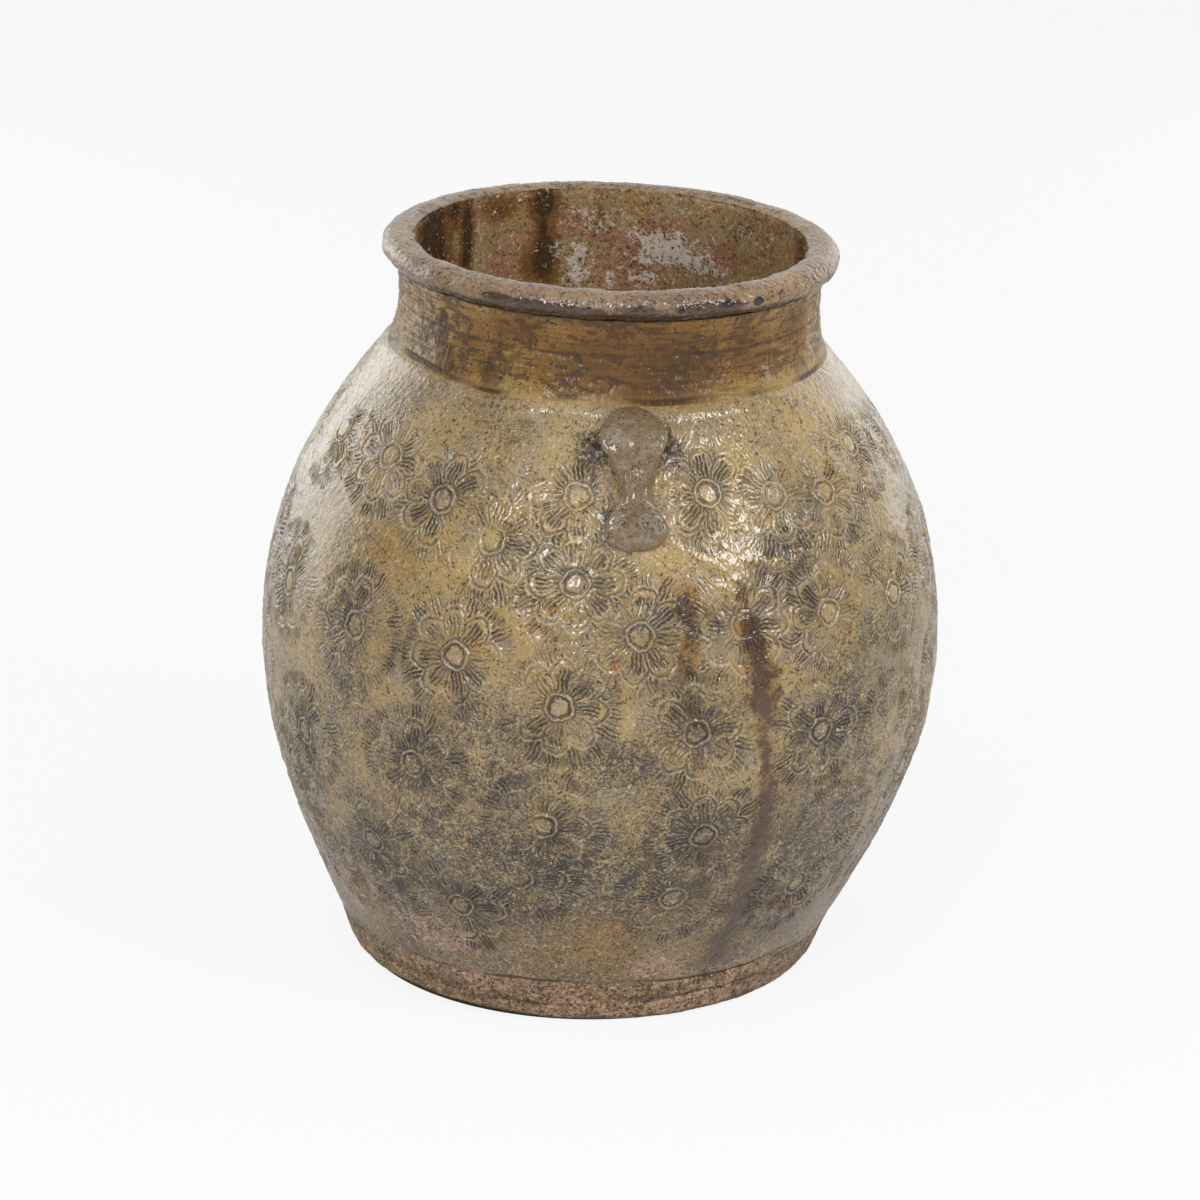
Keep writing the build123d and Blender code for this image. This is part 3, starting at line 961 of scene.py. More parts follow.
def make_rim():
    """The roll round the mouth, with its uneven top and rough inner lip.

    Returns the object and the place of its first inside face.
    """
    roll_height = NECK_SEAM + NECK_HEIGHT + RIM_HEIGHT - ROLL_THICKNESS / 2
    turns = np.radians(np.linspace(*ROLL_TURNS, ROLL_RINGS))
    radii = ROLL_CENTRE_RADIUS + ROLL_WIDTH / 2 * np.cos(turns)
    heights = roll_height + ROLL_THICKNESS / 2 * np.sin(turns)
    bore_heights = np.linspace(heights[-1], NECK_SEAM + NECK_HEIGHT, BORE_RINGS)[1:]
    radii = np.concatenate([radii, np.full(len(bore_heights), MOUTH_RADIUS)])
    heights = np.concatenate([heights, bore_heights])
    azimuth, height = np.meshgrid(columns, heights)
    radius = np.broadcast_to(radii[:, None], azimuth.shape)
    rear = np.cos(np.abs(azimuth) - REAR_PLACE) * (np.abs(azimuth) > 0.6)
    on_roll = smooth(radius, MOUTH_RADIUS, MOUTH_RADIUS + 6)
    points = ring_points(azimuth, radius + REAR_SWELL * clip(rear) ** 3 * on_roll, height)
    arc = np.arange(len(heights))[:, None] * ROLL_STEP
    depth = 0.45 + 0.16 * unevenness(azimuth, arc, 71, 34) + 0.08 * unevenness(azimuth, arc, 72, 7)
    depth = depth + 0.05 * unevenness(azimuth, arc, 74, 2.6, 50)
    lip = groove(height, LIP_LEVEL, 3.2) * (radius < LIP_REACH)
    front_left = smooth(azimuth, -1.5, -1.2) * (1 - smooth(azimuth, -0.06, -0.02))
    chips = clip(0.25 + 0.8 * wander(azimuth, 73, 3, 60)) * 0.9
    chips = chips + front_left * (0.9 + 0.5 * wander(azimuth, 75, 8, 50))
    depth = np.maximum(depth + lip * chips, 0.12)
    depth = depth + 0.5 * groove(height, UNDERCUT_LEVEL, 1.0) * (radius > UNDERCUT_REACH)
    normals = grid_normals(points)
    points = points - normals * depth[..., None]
    piece, _ = make_shell("rim", [(points, grid_normals(points))], True)
    # Painted shade under the roll, from its undercut down
    add_attribute(piece, "underside", 1 - smooth(height, UNDERCUT_LEVEL + 0.3, UNDERCUT_LEVEL + 3.3))
    for field, values in inside_fields(columns, heights).items():
        add_attribute(piece, field, values)
    for field, marks, extra, seed in (("pool", RIM_POOLS, 10, 76), ("spot", RIM_SPOTS, 5, 77)):
        values = patch_field(marks, azimuth, height, extra, seed, cast_rim, ROLL_CENTRE_RADIUS)
        add_attribute(piece, field, values)
    lip_row = len(heights) - len(bore_heights) - 3
    return piece, lip_row * azimuth.shape[1]


def curve_through(values, count):
    """A smooth run of rows of values through some given rows, at even shares of their number."""
    values = np.array(values)
    padded = np.concatenate([[2 * values[0] - values[1]], values, [2 * values[-1] - values[-2]]])
    place = np.linspace(0, len(values) - 1 - 1e-9, count)
    step = place.astype(int)
    t = (place - step)[:, None]
    p0, p1, p2, p3 = (padded[step + k] for k in range(4))
    square = 2 * p0 - 5 * p1 + 4 * p2 - p3
    cube = 3 * p1 - p0 - 3 * p2 + p3
    return 0.5 * (2 * p1 + (p2 - p0) * t + square * t ** 2 + cube * t ** 3)


# The lug's way down the shoulder: drop below the neck seam, reach off the wall, width and thickness
LUG_STATIONS = (
    (5.0, -7.0, 9.0, 5.0), (2.0, 0.5, 12.0, 5.5), (1.9, 6.0, 18.0, 5.7), (4.2, 9.8, 25.0, 6.0),
    (7.6, 11.0, 27.8, 5.8), (11.5, 10.2, 24.6, 5.5), (15.8, 8.0, 18.8, 5.4), (20.5, 5.6, 14.8, 5.4),
    (25.5, 3.8, 12.8, 5.4), (30.0, 2.6, 12.3, 5.2), (33.2, 2.0, 15.5, 5.2), (36.0, 1.8, 20.5, 5.6),
    (39.5, 1.5, 25.0, 6.0), (43.0, 1.1, 25.8, 5.8), (46.4, 0.5, 22.0, 4.8), (48.8, -0.4, 14.0, 3.0),
    (49.8, -1.6, 4.0, 1.0),
)
# Drops below the neck seam of the lug's ridges, the crease under its root, the crease above the pad, and the
# pad's lip and dish
RIDGES_DROP = 20
ROOT_CREASE_DROP = 7.4
PAD_CREASE_DROP = 33.4
PAD_LIP_DROP = 36.4
PAD_DISH_DROP = 42.3
CREASE_DEPTH = 0.7
# Rings along the lug, and points round it
LUG_RINGS = int(150 / FINENESS)
LUG_POINTS = int(72 / FINENESS)


def hump(offset, half_width):
    """1 at no offset, falling off smoothly on both sides."""
    return np.exp(-(offset / half_width) ** 2)


def make_lug(name, half_turn):
    """A strap lug: its domed root, the strap, and the thumb-pressed pad, as one pulled strip of clay."""
    stations = curve_through(LUG_STATIONS, LUG_RINGS)
    drop, reach, width, thickness = stations.T
    height = NECK_SEAM - drop
    centre = np.stack([np.full_like(drop, BELLY_SHIFT), -outer_radius(height) - reach, height], axis=-1)
    along = np.gradient(centre, axis=0)
    along /= np.linalg.norm(along, axis=-1, keepdims=True)
    side = np.array([1.0, 0, 0])
    outward = np.cross(along, side)
    angle = np.linspace(0, TURN, LUG_POINTS, endpoint=False)
    across = np.cos(angle)[None, :] * width[:, None] / 2
    lift = np.sign(np.sin(angle)) * np.abs(np.sin(angle)) ** 0.6
    lift = lift[None, :] * thickness[:, None] / 2
    top = clip(np.sin(angle))[None, :]
    fall = drop[:, None]
    lip = 0.8 * hump(fall - PAD_LIP_DROP - 0.012 * across ** 2, 1.3)
    dish = 1.3 * hump(fall - PAD_DISH_DROP, 4.2) * hump(across, 8.5)
    crease = CREASE_DEPTH * hump(fall - PAD_CREASE_DROP - 0.02 * across ** 2, 0.9)
    crease = crease + 0.6 * hump(fall - ROOT_CREASE_DROP - 0.02 * across ** 2, 1.1)
    ridges = 0.3 * np.cos(across * TURN / 3.8) * hump(fall - RIDGES_DROP, 11)
    dents = 0.16 * unevenness(across / MEAN_RADIUS, fall + 0 * across, 81, 6)
    lift = lift + top * (lip - dish - crease + ridges + dents)
    points = centre[:, None] + across[..., None] * side + lift[..., None] * outward[:, None]
    if half_turn:
        points = points * np.array([-1, -1, 1]) + np.array([2 * BELLY_SHIFT, 0, 0])
    points = points[:, ::-1]
    normals = grid_normals(points)
    ends = [(points[place].mean(axis=0)[None, None], np.array([[[0, 0, 1.0]]])) for place in (0, -1)]
    piece, _ = make_shell(name, [ends[0], (points, normals), ends[1]], False)
    # Painted shade in the creases and on the strap's side towards the wall, where glaze also pooled, and a
    # brown top to the root
    hood = 0.55 * (1 - smooth(fall, 5.5, 8.5))
    underneath = 1 - smooth(np.sin(angle), -0.2, 0.4)[None, :]
    shade_and_hood = np.maximum(np.maximum(top * crease / CREASE_DEPTH, hood), underneath)
    shade_and_hood = shade_and_hood[:, ::-1] if half_turn else shade_and_hood
    add_attribute(piece, "shade_and_hood", np.concatenate([[0], shade_and_hood.reshape(-1), [0]]))
    return piece


# Rings on the inside of the two walls and of the neck
LOWER_RINGS = 32
UPPER_RINGS = 40
NECK_RINGS = 24

base = make_base()
lower_wall, lower_slice, lower_span = make_wall("wall_lower", BASE_HEIGHT, BELLY_HEIGHT, LOWER_RINGS)
upper_wall, upper_slice, upper_span = make_wall("wall_upper", BELLY_HEIGHT, NECK_SEAM, UPPER_RINGS)
neck, _, neck_span = make_wall("neck", NECK_SEAM, NECK_SEAM + NECK_HEIGHT, NECK_RINGS)
add_stamps(lower_wall, lower_slice, lower_span)
add_stamps(upper_wall, upper_slice, upper_span)
rim, rim_inside = make_rim()
lug_front = make_lug("lug_near", False)
lug_back = make_lug("lug_far", True)

mount(base, "base_slab")
mount(lower_wall, "lower_wall")
mount(upper_wall, "upper_wall")
mount(neck, "neck_collar")
mount(rim, "rim_roll")
mount(lug_front, "lug_front")
mount(lug_back, "lug_back")


# Materials

def paint(red, green, blue):
    """A colour as it looks on a screen, from 0 to 255, turned into Blender's linear values."""
    shares = [value / 255 for value in (red, green, blue)]
    return (*[share / 12.92 if share <= 0.04045 else ((share + 0.055) / 1.055) ** 2.4 for share in shares], 1)


class Finish:
    """Short forms for building one material, whose colour starts as a ground that others are laid over."""

    def __init__(self, name, ground=None):
        self.material = bpy.data.materials.new(name)
        self.material.use_nodes = True
        self.tree = self.material.node_tree
        self.shader = self.tree.nodes["Principled BSDF"]
        self.place = self.tree.nodes.new("ShaderNodeTexCoord").outputs["Object"]
        self.ground = ground

    def value(self, socket):
        return Signal(self.tree, socket)

    def parts(self, vector):
        """The three parts of a vector."""
        node = self.tree.nodes.new("ShaderNodeSeparateXYZ")
        self.tree.links.new(vector, node.inputs[0])
        return [self.value(socket) for socket in node.outputs]

    def attribute(self, name, output):
        node = self.tree.nodes.new("ShaderNodeAttribute")
        node.attribute_name = name
        return node.outputs[output]

    def field(self, name):
        return self.value(self.attribute(name, "Fac"))

    def fields(self, name):
        return self.parts(self.attribute(name, "Vector"))

    def height(self):
        """Height above the floor in mm."""
        return self.parts(self.place)[2] * (1 / MM)

    def noise(self, size, detail=3, rough=0.55, stretch=None, shift=0.0):
        """Soft noise from 0 to 1, with its marks about a size in mm."""
        place = self.place
        if stretch:
            mapping = self.tree.nodes.new("ShaderNodeMapping")
            mapping.inputs["Scale"].default_value = stretch
            self.tree.links.new(place, mapping.inputs["Vector"])
            place = mapping.outputs["Vector"]
        node = self.tree.nodes.new("ShaderNodeTexNoise")
        node.noise_dimensions = "4D"
        values = {"W": shift, "Scale": 1 / (size * MM), "Detail": detail, "Roughness": rough}
        for name, value in values.items():
            node.inputs[name].default_value = value
        self.tree.links.new(place, node.inputs["Vector"])
        return self.value(node.outputs["Fac"])

    def lay(self, over, share):
        """Lays a colour over what there is so far, by a share from 0 to 1."""
        node = self.tree.nodes.new("ShaderNodeMix")
        node.data_type = "RGBA"
        if isinstance(self.ground, tuple):
            node.inputs[MIX_UNDER].default_value = self.ground
        else:
            self.tree.links.new(self.ground, node.inputs[MIX_UNDER])
        node.inputs[MIX_OVER].default_value = over
        self.tree.links.new(share.socket, node.inputs[MIX_SHARE])
        self.ground = node.outputs[MIX_RESULT]

    def finished(self, roughness, bumps, depth, coat=None, specular=None):
        """The material, with its roughness, bumps of a depth in mm, and a clear coat over it."""
        self.tree.links.new(self.ground, self.shader.inputs["Base Color"])
        self.tree.links.new(roughness.socket, self.shader.inputs["Roughness"])
        node = self.tree.nodes.new("ShaderNodeBump")
        node.inputs["Strength"].default_value = 1
        node.inputs["Distance"].default_value = depth * MM
        self.tree.links.new(bumps.socket, node.inputs["Height"])
        self.tree.links.new(node.outputs[0], self.shader.inputs["Normal"])
        if coat:
            self.shader.inputs["Coat Weight"].default_value = coat[0]
            self.shader.inputs["Coat Roughness"].default_value = coat[1]
        if specular is not None:
            self.shader.inputs["Specular IOR Level"].default_value = specular
        return self.material


# Places of a colour mix node's sockets
MIX_SHARE = 0
MIX_UNDER = 6
MIX_OVER = 7
MIX_RESULT = 2

# Glaze, clay and wear, as read from the photograph
OCHRE = paint(176, 148, 92)
OLIVE = paint(132, 114, 74)
UMBER_OLIVE = paint(128, 98, 48)
PALE = paint(206, 190, 156)
DARK_GRAIN = paint(92, 68, 36)
SLATE = paint(46, 42, 44)
GREY = paint(146, 134, 116)
AMBER = paint(152, 114, 44)
BROWN = paint(96, 62, 30)
UMBER = paint(62, 40, 22)
CLAY = paint(178, 142, 116)
RUST = paint(160, 84, 46)
WHITE = paint(196, 188, 178)
TERRACOTTA = paint(144, 102, 78)
RUN_YELLOW = paint(126, 86, 24)
RUN_CORE = paint(58, 38, 20)
FOOT_BUFF = paint(168, 138, 104)
FOOT_BROWN = paint(112, 88, 64)
NECK_HONEY = paint(140, 98, 40)
NECK_BROWN = paint(100, 68, 28)
NECK_HAZE = paint(172, 156, 132)
INSIDE_BUFF = paint(150, 128, 92)
INSIDE_BROWN = paint(122, 86, 56)
INSIDE_RUN = paint(104, 66, 20)
INSIDE_CORE = paint(48, 30, 14)
RIM_MAUVE = paint(140, 116, 94)
RIM_BROWN = paint(102, 78, 62)
RIM_TAN = paint(160, 130, 84)
RIM_POOL_AND_SHADE = paint(52, 36, 24)
RIM_BLACK = paint(26, 20, 20)
LUG_PALE = paint(224, 210, 182)
LUG_OCHRE = paint(186, 148, 82)

# The heights in mm between which the wall's lower part fades out, and those where the foot's seam does
LOW_PART = (40, 210)
SEAM_PART = (25, 29)
# Clear coats: weight and roughness
GLASSY_COAT = (0.6, 0.06)
WORN_COAT = (0.5, 0.1)
THIN_COAT = (0.2, 0.15)


class Grain:
    """Noise of several sizes that breaks the marks of one material into grains and ragged edges."""

    def __init__(self, finish):
        self.finish = finish
        self.fine = finish.noise(1.0, 1, 0.7, shift=1.0)
        self.small = finish.noise(2.4, 3, 0.8, shift=2.0)
        self.middle = finish.noise(7, 5, 0.72, shift=3.0)
        self.broad = finish.noise(34, 5, 0.62, shift=4.0)

    def ragged(self, field, weight=1.0):
        """A mark's field with its edge broken up at every size."""
        breaks = (self.broad - 0.5) * 1.2 + (self.middle - 0.5) * 1.6 + (self.small - 0.5) * 1.1
        return field + breaks * weight

    def patch(self, field, start, end, weight=1.0):
        """How far a mark with a ragged edge covers each place, from 0 to 1."""
        return smooth(self.ragged(field, weight), start, end)

    def grains(self, field, weight=1.0):
        """A mark's field made of grains, denser where the field is stronger."""
        breaks = (self.fine - 0.5) * 1.8 + (self.small - 0.5) * 2.2 + (self.middle - 0.5) * 1.1
        return field + breaks * weight

    def strokes(self):
        """Thin wormy strokes, like the cracks and pulls of a stiff slip under the glaze."""
        worms = size_of(self.finish.noise(2.4, 3, 0.6, shift=9.0) - 0.5)
        return 1 - smooth(worms, 0.008, 0.04)

    def speckle(self, dark, pale):
        """Lays fine dark and pale grains over the surface, more of them where the given values are higher."""
        self.finish.lay(PALE, smooth(self.grains(pale), 0.08, 0.34) * 0.6)
        self.finish.lay(DARK_GRAIN, smooth(dark + 0.2 - self.grains(0.0), -0.02, 0.2) * 0.55)
        self.finish.lay(SLATE, smooth(dark - self.grains(0.0), -0.02, 0.16) * 0.85)

    def gloss(self, low, high):
        """Roughness that wanders between two values."""
        return self.finish.noise(5, 4, 0.6, shift=14.0) * (high - low) + low

    def lay_glaze(self):
        """Lays olive, grey and brown over the ochre ground of the ash glaze."""
        self.finish.lay(OLIVE, smooth(self.broad * 0.7 + self.middle * 0.3, 0.4, 0.62) * 0.85)
        self.finish.lay(GREY, smooth(self.finish.noise(12, 5, 0.7, shift=5.0), 0.43, 0.64) * 0.7)
        self.finish.lay(UMBER_OLIVE, smooth(self.small * 0.6 + self.fine * 0.4, 0.47, 0.58) * 0.6)


def body_finish():
    """The walls: ash glaze with ink-dark stamps, smudges, amber and clay patches, and runs, with painted
    shade in the stamps' cut lines, beside the lugs and towards the bottom.
    """
    finish = Finish("body_glaze", OCHRE)
    grain = Grain(finish)
    field = finish.field
    press = field("press")
    x, y, left = worn(*finish.fields("stamp"))
    rings, lines, hollow = stamp_parts(x, y)
    cut = larger(rings * 0.9, lines * left) * press
    low = 1 - smooth(finish.height(), *LOW_PART)
    grain.lay_glaze()
    # Painted shade: browner and darker towards the bottom
    finish.lay(BROWN, (1 - grain.patch(finish.height() * 0.01, 0.3, 0.95, 0.5)) * 0.35)
    finish.lay(AMBER, grain.patch(larger(field("amber"), field("brown") * 0.8), 0.35, 0.95) * 0.6)
    finish.lay(CLAY, grain.patch(field("clay"), 0.35, 0.75) * 0.85)
    finish.lay(RUST, grain.patch(field("rust"), 0.4, 0.9) * 0.7)
    smudge = field("smudge")
    run = grain.patch(field("run"), 0.1, 0.6, 0.8)
    dry = 1 - run
    finish.lay(RUN_YELLOW, run * 0.85)
    finish.lay(RUN_CORE, grain.patch(field("run"), 0.35, 0.7, 1.5) * 0.85)
    dark = smudge * 0.28 + low * 0.05 + cut * 0.2 * dry
    grain.speckle(dark - 0.29, low * 0.02 - 0.1 - run * 0.4)
    strokes = grain.strokes() * grain.patch(smudge + low * 0.3, 0.05, 0.5) * (1 - run * 0.7)
    finish.lay(SLATE, strokes * 0.95)
    inked = grain.patch(smudge * 0.5 + 0.3, 0.0, 0.6)
    pressed = hollow * press * dry
    finish.lay(SLATE, clip(pressed * inked * 0.5))
    finish.lay(PALE, clip(pressed * (0.3 - grain.middle * 1.3)))
    # Painted shade in the stamps' cut lines and rings
    finish.lay(UMBER, cut * 0.45)
    finish.lay(SLATE, clip(cut * inked * 0.78))
    scratch = grain.patch(field("drip"), 0.5, 0.8, 0.5)
    seam = smooth(field("relief"), 0.75, 1.15) * (1 - smooth(finish.height(), *SEAM_PART))
    finish.lay(UMBER, larger(scratch, seam) * 0.85)
    roughness = grain.gloss(0.12, 0.36) + smudge * 0.12 + grain.fine * 0.12 - run * 0.08
    bumps = grain.fine * 0.3 + grain.small * 0.45 + grain.middle * 0.5 - cut * 0.8 - strokes * 0.3
    return finish.finished(roughness, bumps, 0.5, GLASSY_COAT)


def foot_finish():
    """The foot band: thin worn glaze in turned bands over pinkish clay, dark in its lines and at its edge."""
    finish = Finish("foot_clay", FOOT_BUFF)
    grain = Grain(finish)
    bands = finish.noise(7, 5, 0.7, stretch=(0.25, 0.25, 1.6), shift=5.0)
    finish.lay(FOOT_BROWN, smooth(bands * 0.7 + grain.middle * 0.3, 0.42, 0.6))
    finish.lay(CLAY, grain.patch(finish.field("clay") * 0.8, 0.1, 0.6) * 0.6)
    grain.speckle(finish.field("smudge") * 0.3 - 0.1, -0.16)
    edge = 1 - smooth(finish.height() + grain.small * 2, 0.8, 5.0)
    finish.lay(UMBER, edge * 0.6)
    finish.lay(UMBER, smooth(finish.field("relief"), 0.55, 1.1) * 0.75)
    return finish.finished(grain.gloss(0.4, 0.65), grain.small * 0.6 + grain.fine * 0.3, 0.3)


def neck_finish():
    """Outside of the neck: turned amber to olive glaze with brown pools, drips and streaks."""
    finish = Finish("neck_glaze", OCHRE)
    grain = Grain(finish)
    field = finish.field
    grain.lay_glaze()
    finish.lay(AMBER, smooth(grain.broad, 0.3, 0.6) * 0.5)
    streaks = finish.noise(9, 5, 0.65, stretch=(0.05, 0.05, 5.0), shift=6.0)
    short = finish.noise(6, 4, 0.65, stretch=(0.25, 0.25, 3.0), shift=7.0)
    finish.lay(OCHRE, smooth(streaks, 0.5, 0.7) * 0.4)
    brown = field("brown") + (short - 0.5) * 1.2 + (streaks - 0.5) * 0.6
    finish.lay(NECK_HONEY, grain.patch(brown, -0.1, 0.5, 0.6) * 0.75)
    finish.lay(NECK_BROWN, grain.patch(brown, 0.1, 0.8, 0.6) * 0.8)
    finish.lay(UMBER, grain.patch(brown, 0.6, 1.3, 0.9) * 0.5)
    upright = finish.noise(9, 5, 0.7, stretch=(1, 1, 0.2), shift=8.0)
    finish.lay(NECK_HAZE, grain.patch(upright + 0.08 - field("brown") * 0.8, 0.5, 0.8, 0.5) * 0.75)
    turned = smooth(field("relief") + (short - 0.5) * 0.25, 0.34, 0.42)
    lines = larger(1 - smooth(streaks * 0.55 + short * 0.45, 0.4, 0.5), turned)
    finish.lay(UMBER, lines * 0.6)
    finish.lay(UMBER, grain.patch(field("drip"), 0.3, 0.75, 0.7) * 0.7)
    grain.speckle(lines * 0.1 - 0.26, -0.45)
    above_seam = grain.patch((finish.height() - NECK_SEAM) * 0.1, 0.0, 0.8, 0.6)
    finish.lay(OCHRE, (1 - above_seam) * (1 - smooth(field("brown"), 0.3, 0.9)) * 0.4)
    finish.lay(UMBER, smooth(field("relief"), 0.62, 1.1) * 0.85)
    bumps = streaks * 0.8 + short * 0.4 + grain.small * 0.3 + grain.fine * 0.15
    return finish.finished(grain.gloss(0.34, 0.55) + grain.fine * 0.1, bumps, 0.3, THIN_COAT, 0.25)


def inside_finish():
    """The inside: mottled glaze with terracotta patches, pale crust, and dark runs from the rim."""
    finish = Finish("inside_glaze", INSIDE_BUFF)
    grain = Grain(finish)
    finish.lay(INSIDE_BROWN, smooth(grain.broad * 0.5 + grain.middle * 0.5, 0.4, 0.6) * 0.7)
    finish.lay(AMBER, smooth(finish.noise(20, 4, 0.6, shift=6.0), 0.5, 0.66) * 0.5)
    finish.lay(TERRACOTTA, grain.patch(finish.field("clay") * 0.9 + 0.15, 0.42, 0.52, 0.7) * 0.8)
    drip = finish.field("drip")
    finish.lay(INSIDE_RUN, grain.patch(drip, 0.1, 0.35, 0.7) * 0.85)
    finish.lay(INSIDE_CORE, grain.patch(drip, 0.5, 0.8, 0.8) * 0.9)
    mist = smooth(grain.grains(grain.ragged(0.1 - drip, 0.9), 0.6), 0.1, 0.9)
    finish.lay(PALE, mist * 0.5)
    grain.speckle(drip * 0.1 - 0.3, -0.2)
    crust = smooth(grain.grains(grain.ragged(finish.field("crust"), 1.1), 0.7), 0.4, 0.85)
    finish.lay(WHITE, crust * 0.65)
    bumps = grain.small * 0.5 + grain.middle * 0.5 + crust * 0.4
    return finish.finished(grain.gloss(0.3, 0.6), bumps, 0.5, specular=0.25)


def rim_finish():
    """The rim: worn mauve-brown glaze with tan patches, dark where it pooled, painted shade under the roll,
    and black spots.
    """
    finish = Finish("rim_glaze", RIM_MAUVE)
    grain = Grain(finish)
    finish.lay(RIM_BROWN, smooth(grain.broad * 0.5 + grain.middle * 0.5, 0.42, 0.58))
    finish.lay(RIM_TAN, grain.patch(finish.noise(26, 4, 0.6, shift=6.0), 0.35, 0.7, 0.6) * 0.6)
    # Dark glaze pooled on the front, and painted shade on the roll's underside
    dark = grain.patch(finish.field("underside") * 0.55 + finish.field("pool") * 0.8, 0.3, 0.65, 0.6)
    finish.lay(RIM_POOL_AND_SHADE, dark * 0.9)
    grain.speckle(-0.2, -0.4)
    finish.lay(RIM_BLACK, grain.patch(finish.field("spot"), 0.4, 0.5, 0.35) * 0.95)
    roughness = grain.gloss(0.24, 0.5) - dark * 0.18
    return finish.finished(roughness, grain.small * 0.35 + grain.middle * 0.8, 0.5, WORN_COAT)


def lug_finish():
    """The lugs: pale and ochre mottled glaze, brown in places, with painted shade in the creases and towards
    the wall.
    """
    finish = Finish("lug_glaze", LUG_PALE)
    grain = Grain(finish)
    finish.lay(LUG_OCHRE, smooth(grain.middle, 0.42, 0.58) * 0.9)
    finish.lay(BROWN, grain.patch(finish.noise(8, 4, 0.7, shift=6.0), 0.65, 0.95) * 0.6)
    grain.speckle(-0.3, 0.0)
    # Painted shade in the creases and towards the wall, with the brown top of the root
    finish.lay(UMBER, grain.patch(finish.field("shade_and_hood"), 0.3, 1.0, 0.3) * 0.75)
    bumps = grain.small * 1.1 + grain.middle * 0.9 + grain.fine * 0.35
    return finish.finished(grain.gloss(0.16, 0.36), bumps, 1.0, GLASSY_COAT)


def dress(piece, outside, inside=None, inside_from=0):
    """Gives a piece its material, and its inside faces another one."""
    piece.data.materials.append(outside)
    if inside:
        piece.data.materials.append(inside)
        places = np.zeros(len(piece.data.polygons), np.int32)
        places[inside_from:] = 1
        piece.data.polygons.foreach_set("material_index", places)


body_glaze = body_finish()
inside_glaze = inside_finish()
lug_glaze = lug_finish()
dress(base, foot_finish())
dress(lower_wall, body_glaze, inside_glaze, lower_span[1])
dress(upper_wall, body_glaze, inside_glaze, upper_span[1])
dress(neck, neck_finish(), inside_glaze, neck_span[1])
dress(rim, rim_finish(), inside_glaze, rim_inside)
dress(lug_front, lug_glaze)
dress(lug_back, lug_glaze)


# Stage, camera and lights

# The floor: its grey, how far it glows white to the camera, and its reach in metres
FLOOR_GREY = 0.74
FLOOR_GLOW = 0.87
FLOOR_REACH = 6.0
# Soft lamps: name, azimuth and elevation in degrees, then distance, width and height in metres, and watts
LAMPS = (
    ("window_right", 46, 34, 1.5, 0.3, 0.54, 8.5),
    ("window_left", -22, 30, 1.6, 0.24, 0.46, 8),
    ("above", -30, 62, 1.8, 1.4, 1.2, 4.5),
    ("side_left", -132, 4, 1.6, 1.6, 1.4, 11),
    ("side_right", 136, 4, 1.6, 1.2, 1.4, 4),
)
LAMP_TARGET = Vector((0, 0, 0.17))
# The surround's strength in soft light, in reflections in front of the jar, what it gains behind the jar, and
# where that gain begins and ends along Y
SURROUND = 0.5
REFLECTED = 0.2
REFLECTED_GAIN = 0.75
BEHIND = (-0.2, 0.7)


def floor_material():
    """A pale floor that looks white to the camera and still takes a soft shadow."""
    finish = Finish("floor")
    finish.shader.inputs["Base Color"].default_value = (FLOOR_GREY, FLOOR_GREY, FLOOR_GREY, 1)
    finish.shader.inputs["Roughness"].default_value = 1
    finish.shader.inputs["Specular IOR Level"].default_value = 0
    glow = finish.tree.nodes.new("ShaderNodeEmission")
    glow.inputs["Strength"].default_value = 1
    path = finish.tree.nodes.new("ShaderNodeLightPath")
    mix = finish.tree.nodes.new("ShaderNodeMixShader")
    share = finish.value(path.outputs["Is Camera Ray"]) * FLOOR_GLOW
    finish.tree.links.new(share.socket, mix.inputs[0])
    finish.tree.links.new(finish.shader.outputs[0], mix.inputs[1])
    finish.tree.links.new(glow.outputs[0], mix.inputs[2])
    output = finish.tree.nodes["Material Output"]
    finish.tree.links.new(mix.outputs[0], output.inputs["Surface"])
    return finish.material


def make_floor():
    mesh = bpy.data.meshes.new("floor")
    corners = [(x * FLOOR_REACH, y * FLOOR_REACH, 0) for x, y in ((-1, -1), (1, -1), (1, 1), (-1, 1))]
    mesh.from_pydata(corners, [], [(0, 1, 2, 3)])
    mesh.materials.append(floor_material())
    floor = add_object("floor", mesh)


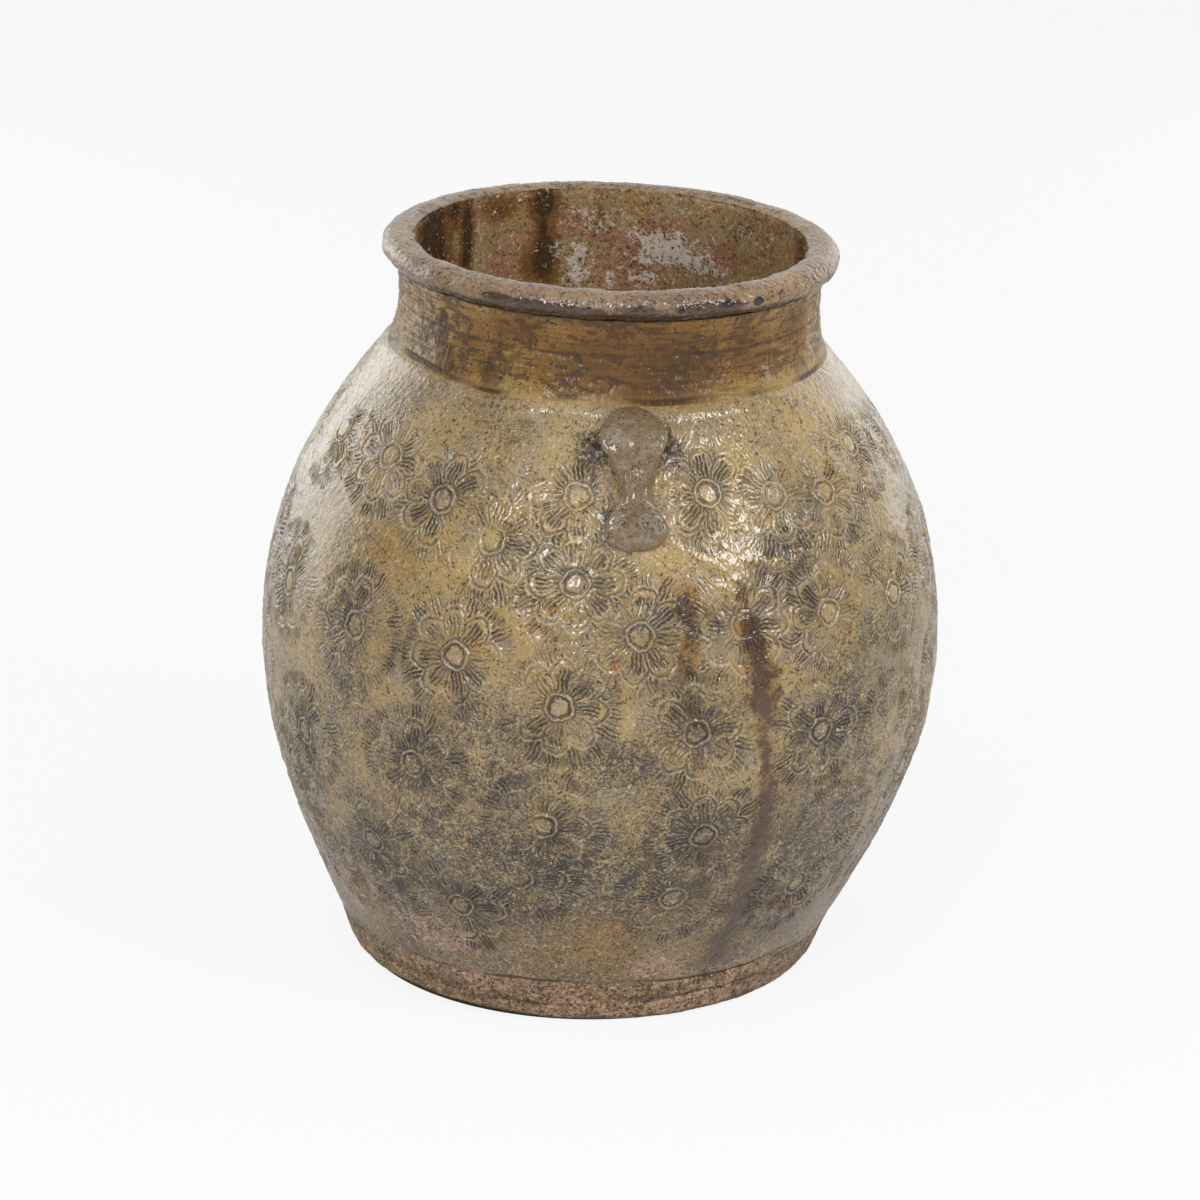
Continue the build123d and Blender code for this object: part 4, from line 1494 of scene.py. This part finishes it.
def make_world():
    """A surround that is white to the camera, and in reflections dim before the jar and bright behind it."""
    world = bpy.data.worlds.new("surround")
    world.use_nodes = True
    tree = world.node_tree
    bpy.context.scene.world = world
    path = tree.nodes.new("ShaderNodeLightPath")
    seen = Signal(tree, path.outputs["Is Camera Ray"])
    seen = larger(seen, Signal(tree, path.outputs["Is Transmission Ray"]))
    mirrored = Signal(tree, path.outputs["Is Glossy Ray"])
    direction = tree.nodes.new("ShaderNodeSeparateXYZ")
    tree.links.new(tree.nodes.new("ShaderNodeTexCoord").outputs["Generated"], direction.inputs[0])
    behind = smooth(Signal(tree, direction.outputs[1]), *BEHIND)
    reflected = mirrored * (behind * REFLECTED_GAIN + REFLECTED)
    level = seen + reflected + (1 - larger(seen, mirrored)) * SURROUND
    background = tree.nodes["Background"]
    background.inputs["Color"].default_value = (1, 1, 1, 1)
    tree.links.new(level.socket, background.inputs["Strength"])


def make_light(name, azimuth, elevation, distance, width, height, power):
    """A soft rectangular lamp that faces the jar."""
    lamp = bpy.data.lights.new(name, "AREA")
    lamp.shape = "RECTANGLE"
    lamp.size = width
    lamp.size_y = height
    lamp.energy = power
    light = add_object(name, lamp)
    turn, rise = math.radians(azimuth), math.radians(elevation)
    away = Vector((math.sin(turn) * math.cos(rise), -math.cos(turn) * math.cos(rise), math.sin(rise)))
    light.location = LAMP_TARGET + away * distance
    light.rotation_euler = away.to_track_quat("Z", "Y").to_euler()


def make_camera():
    right, up, back = camera_axes()
    lens = bpy.data.cameras.new("camera")
    lens.sensor_width = SENSOR_WIDTH
    lens.lens = FOCAL_PIXELS / IMAGE_SIZE * SENSOR_WIDTH
    camera = add_object("camera", lens)
    place = (np.array(AIM) + CAMERA_DISTANCE * back) * MM
    axes = np.stack([right, up, back], axis=1)
    camera.matrix_world = Matrix([[*axes[row], place[row]] for row in range(3)] + [[0, 0, 0, 1]])
    bpy.context.scene.camera = camera


make_floor()
make_world()
for lamp in LAMPS:
    make_light(*lamp)
make_camera()
bpy.context.scene.view_settings.view_transform = "Standard"
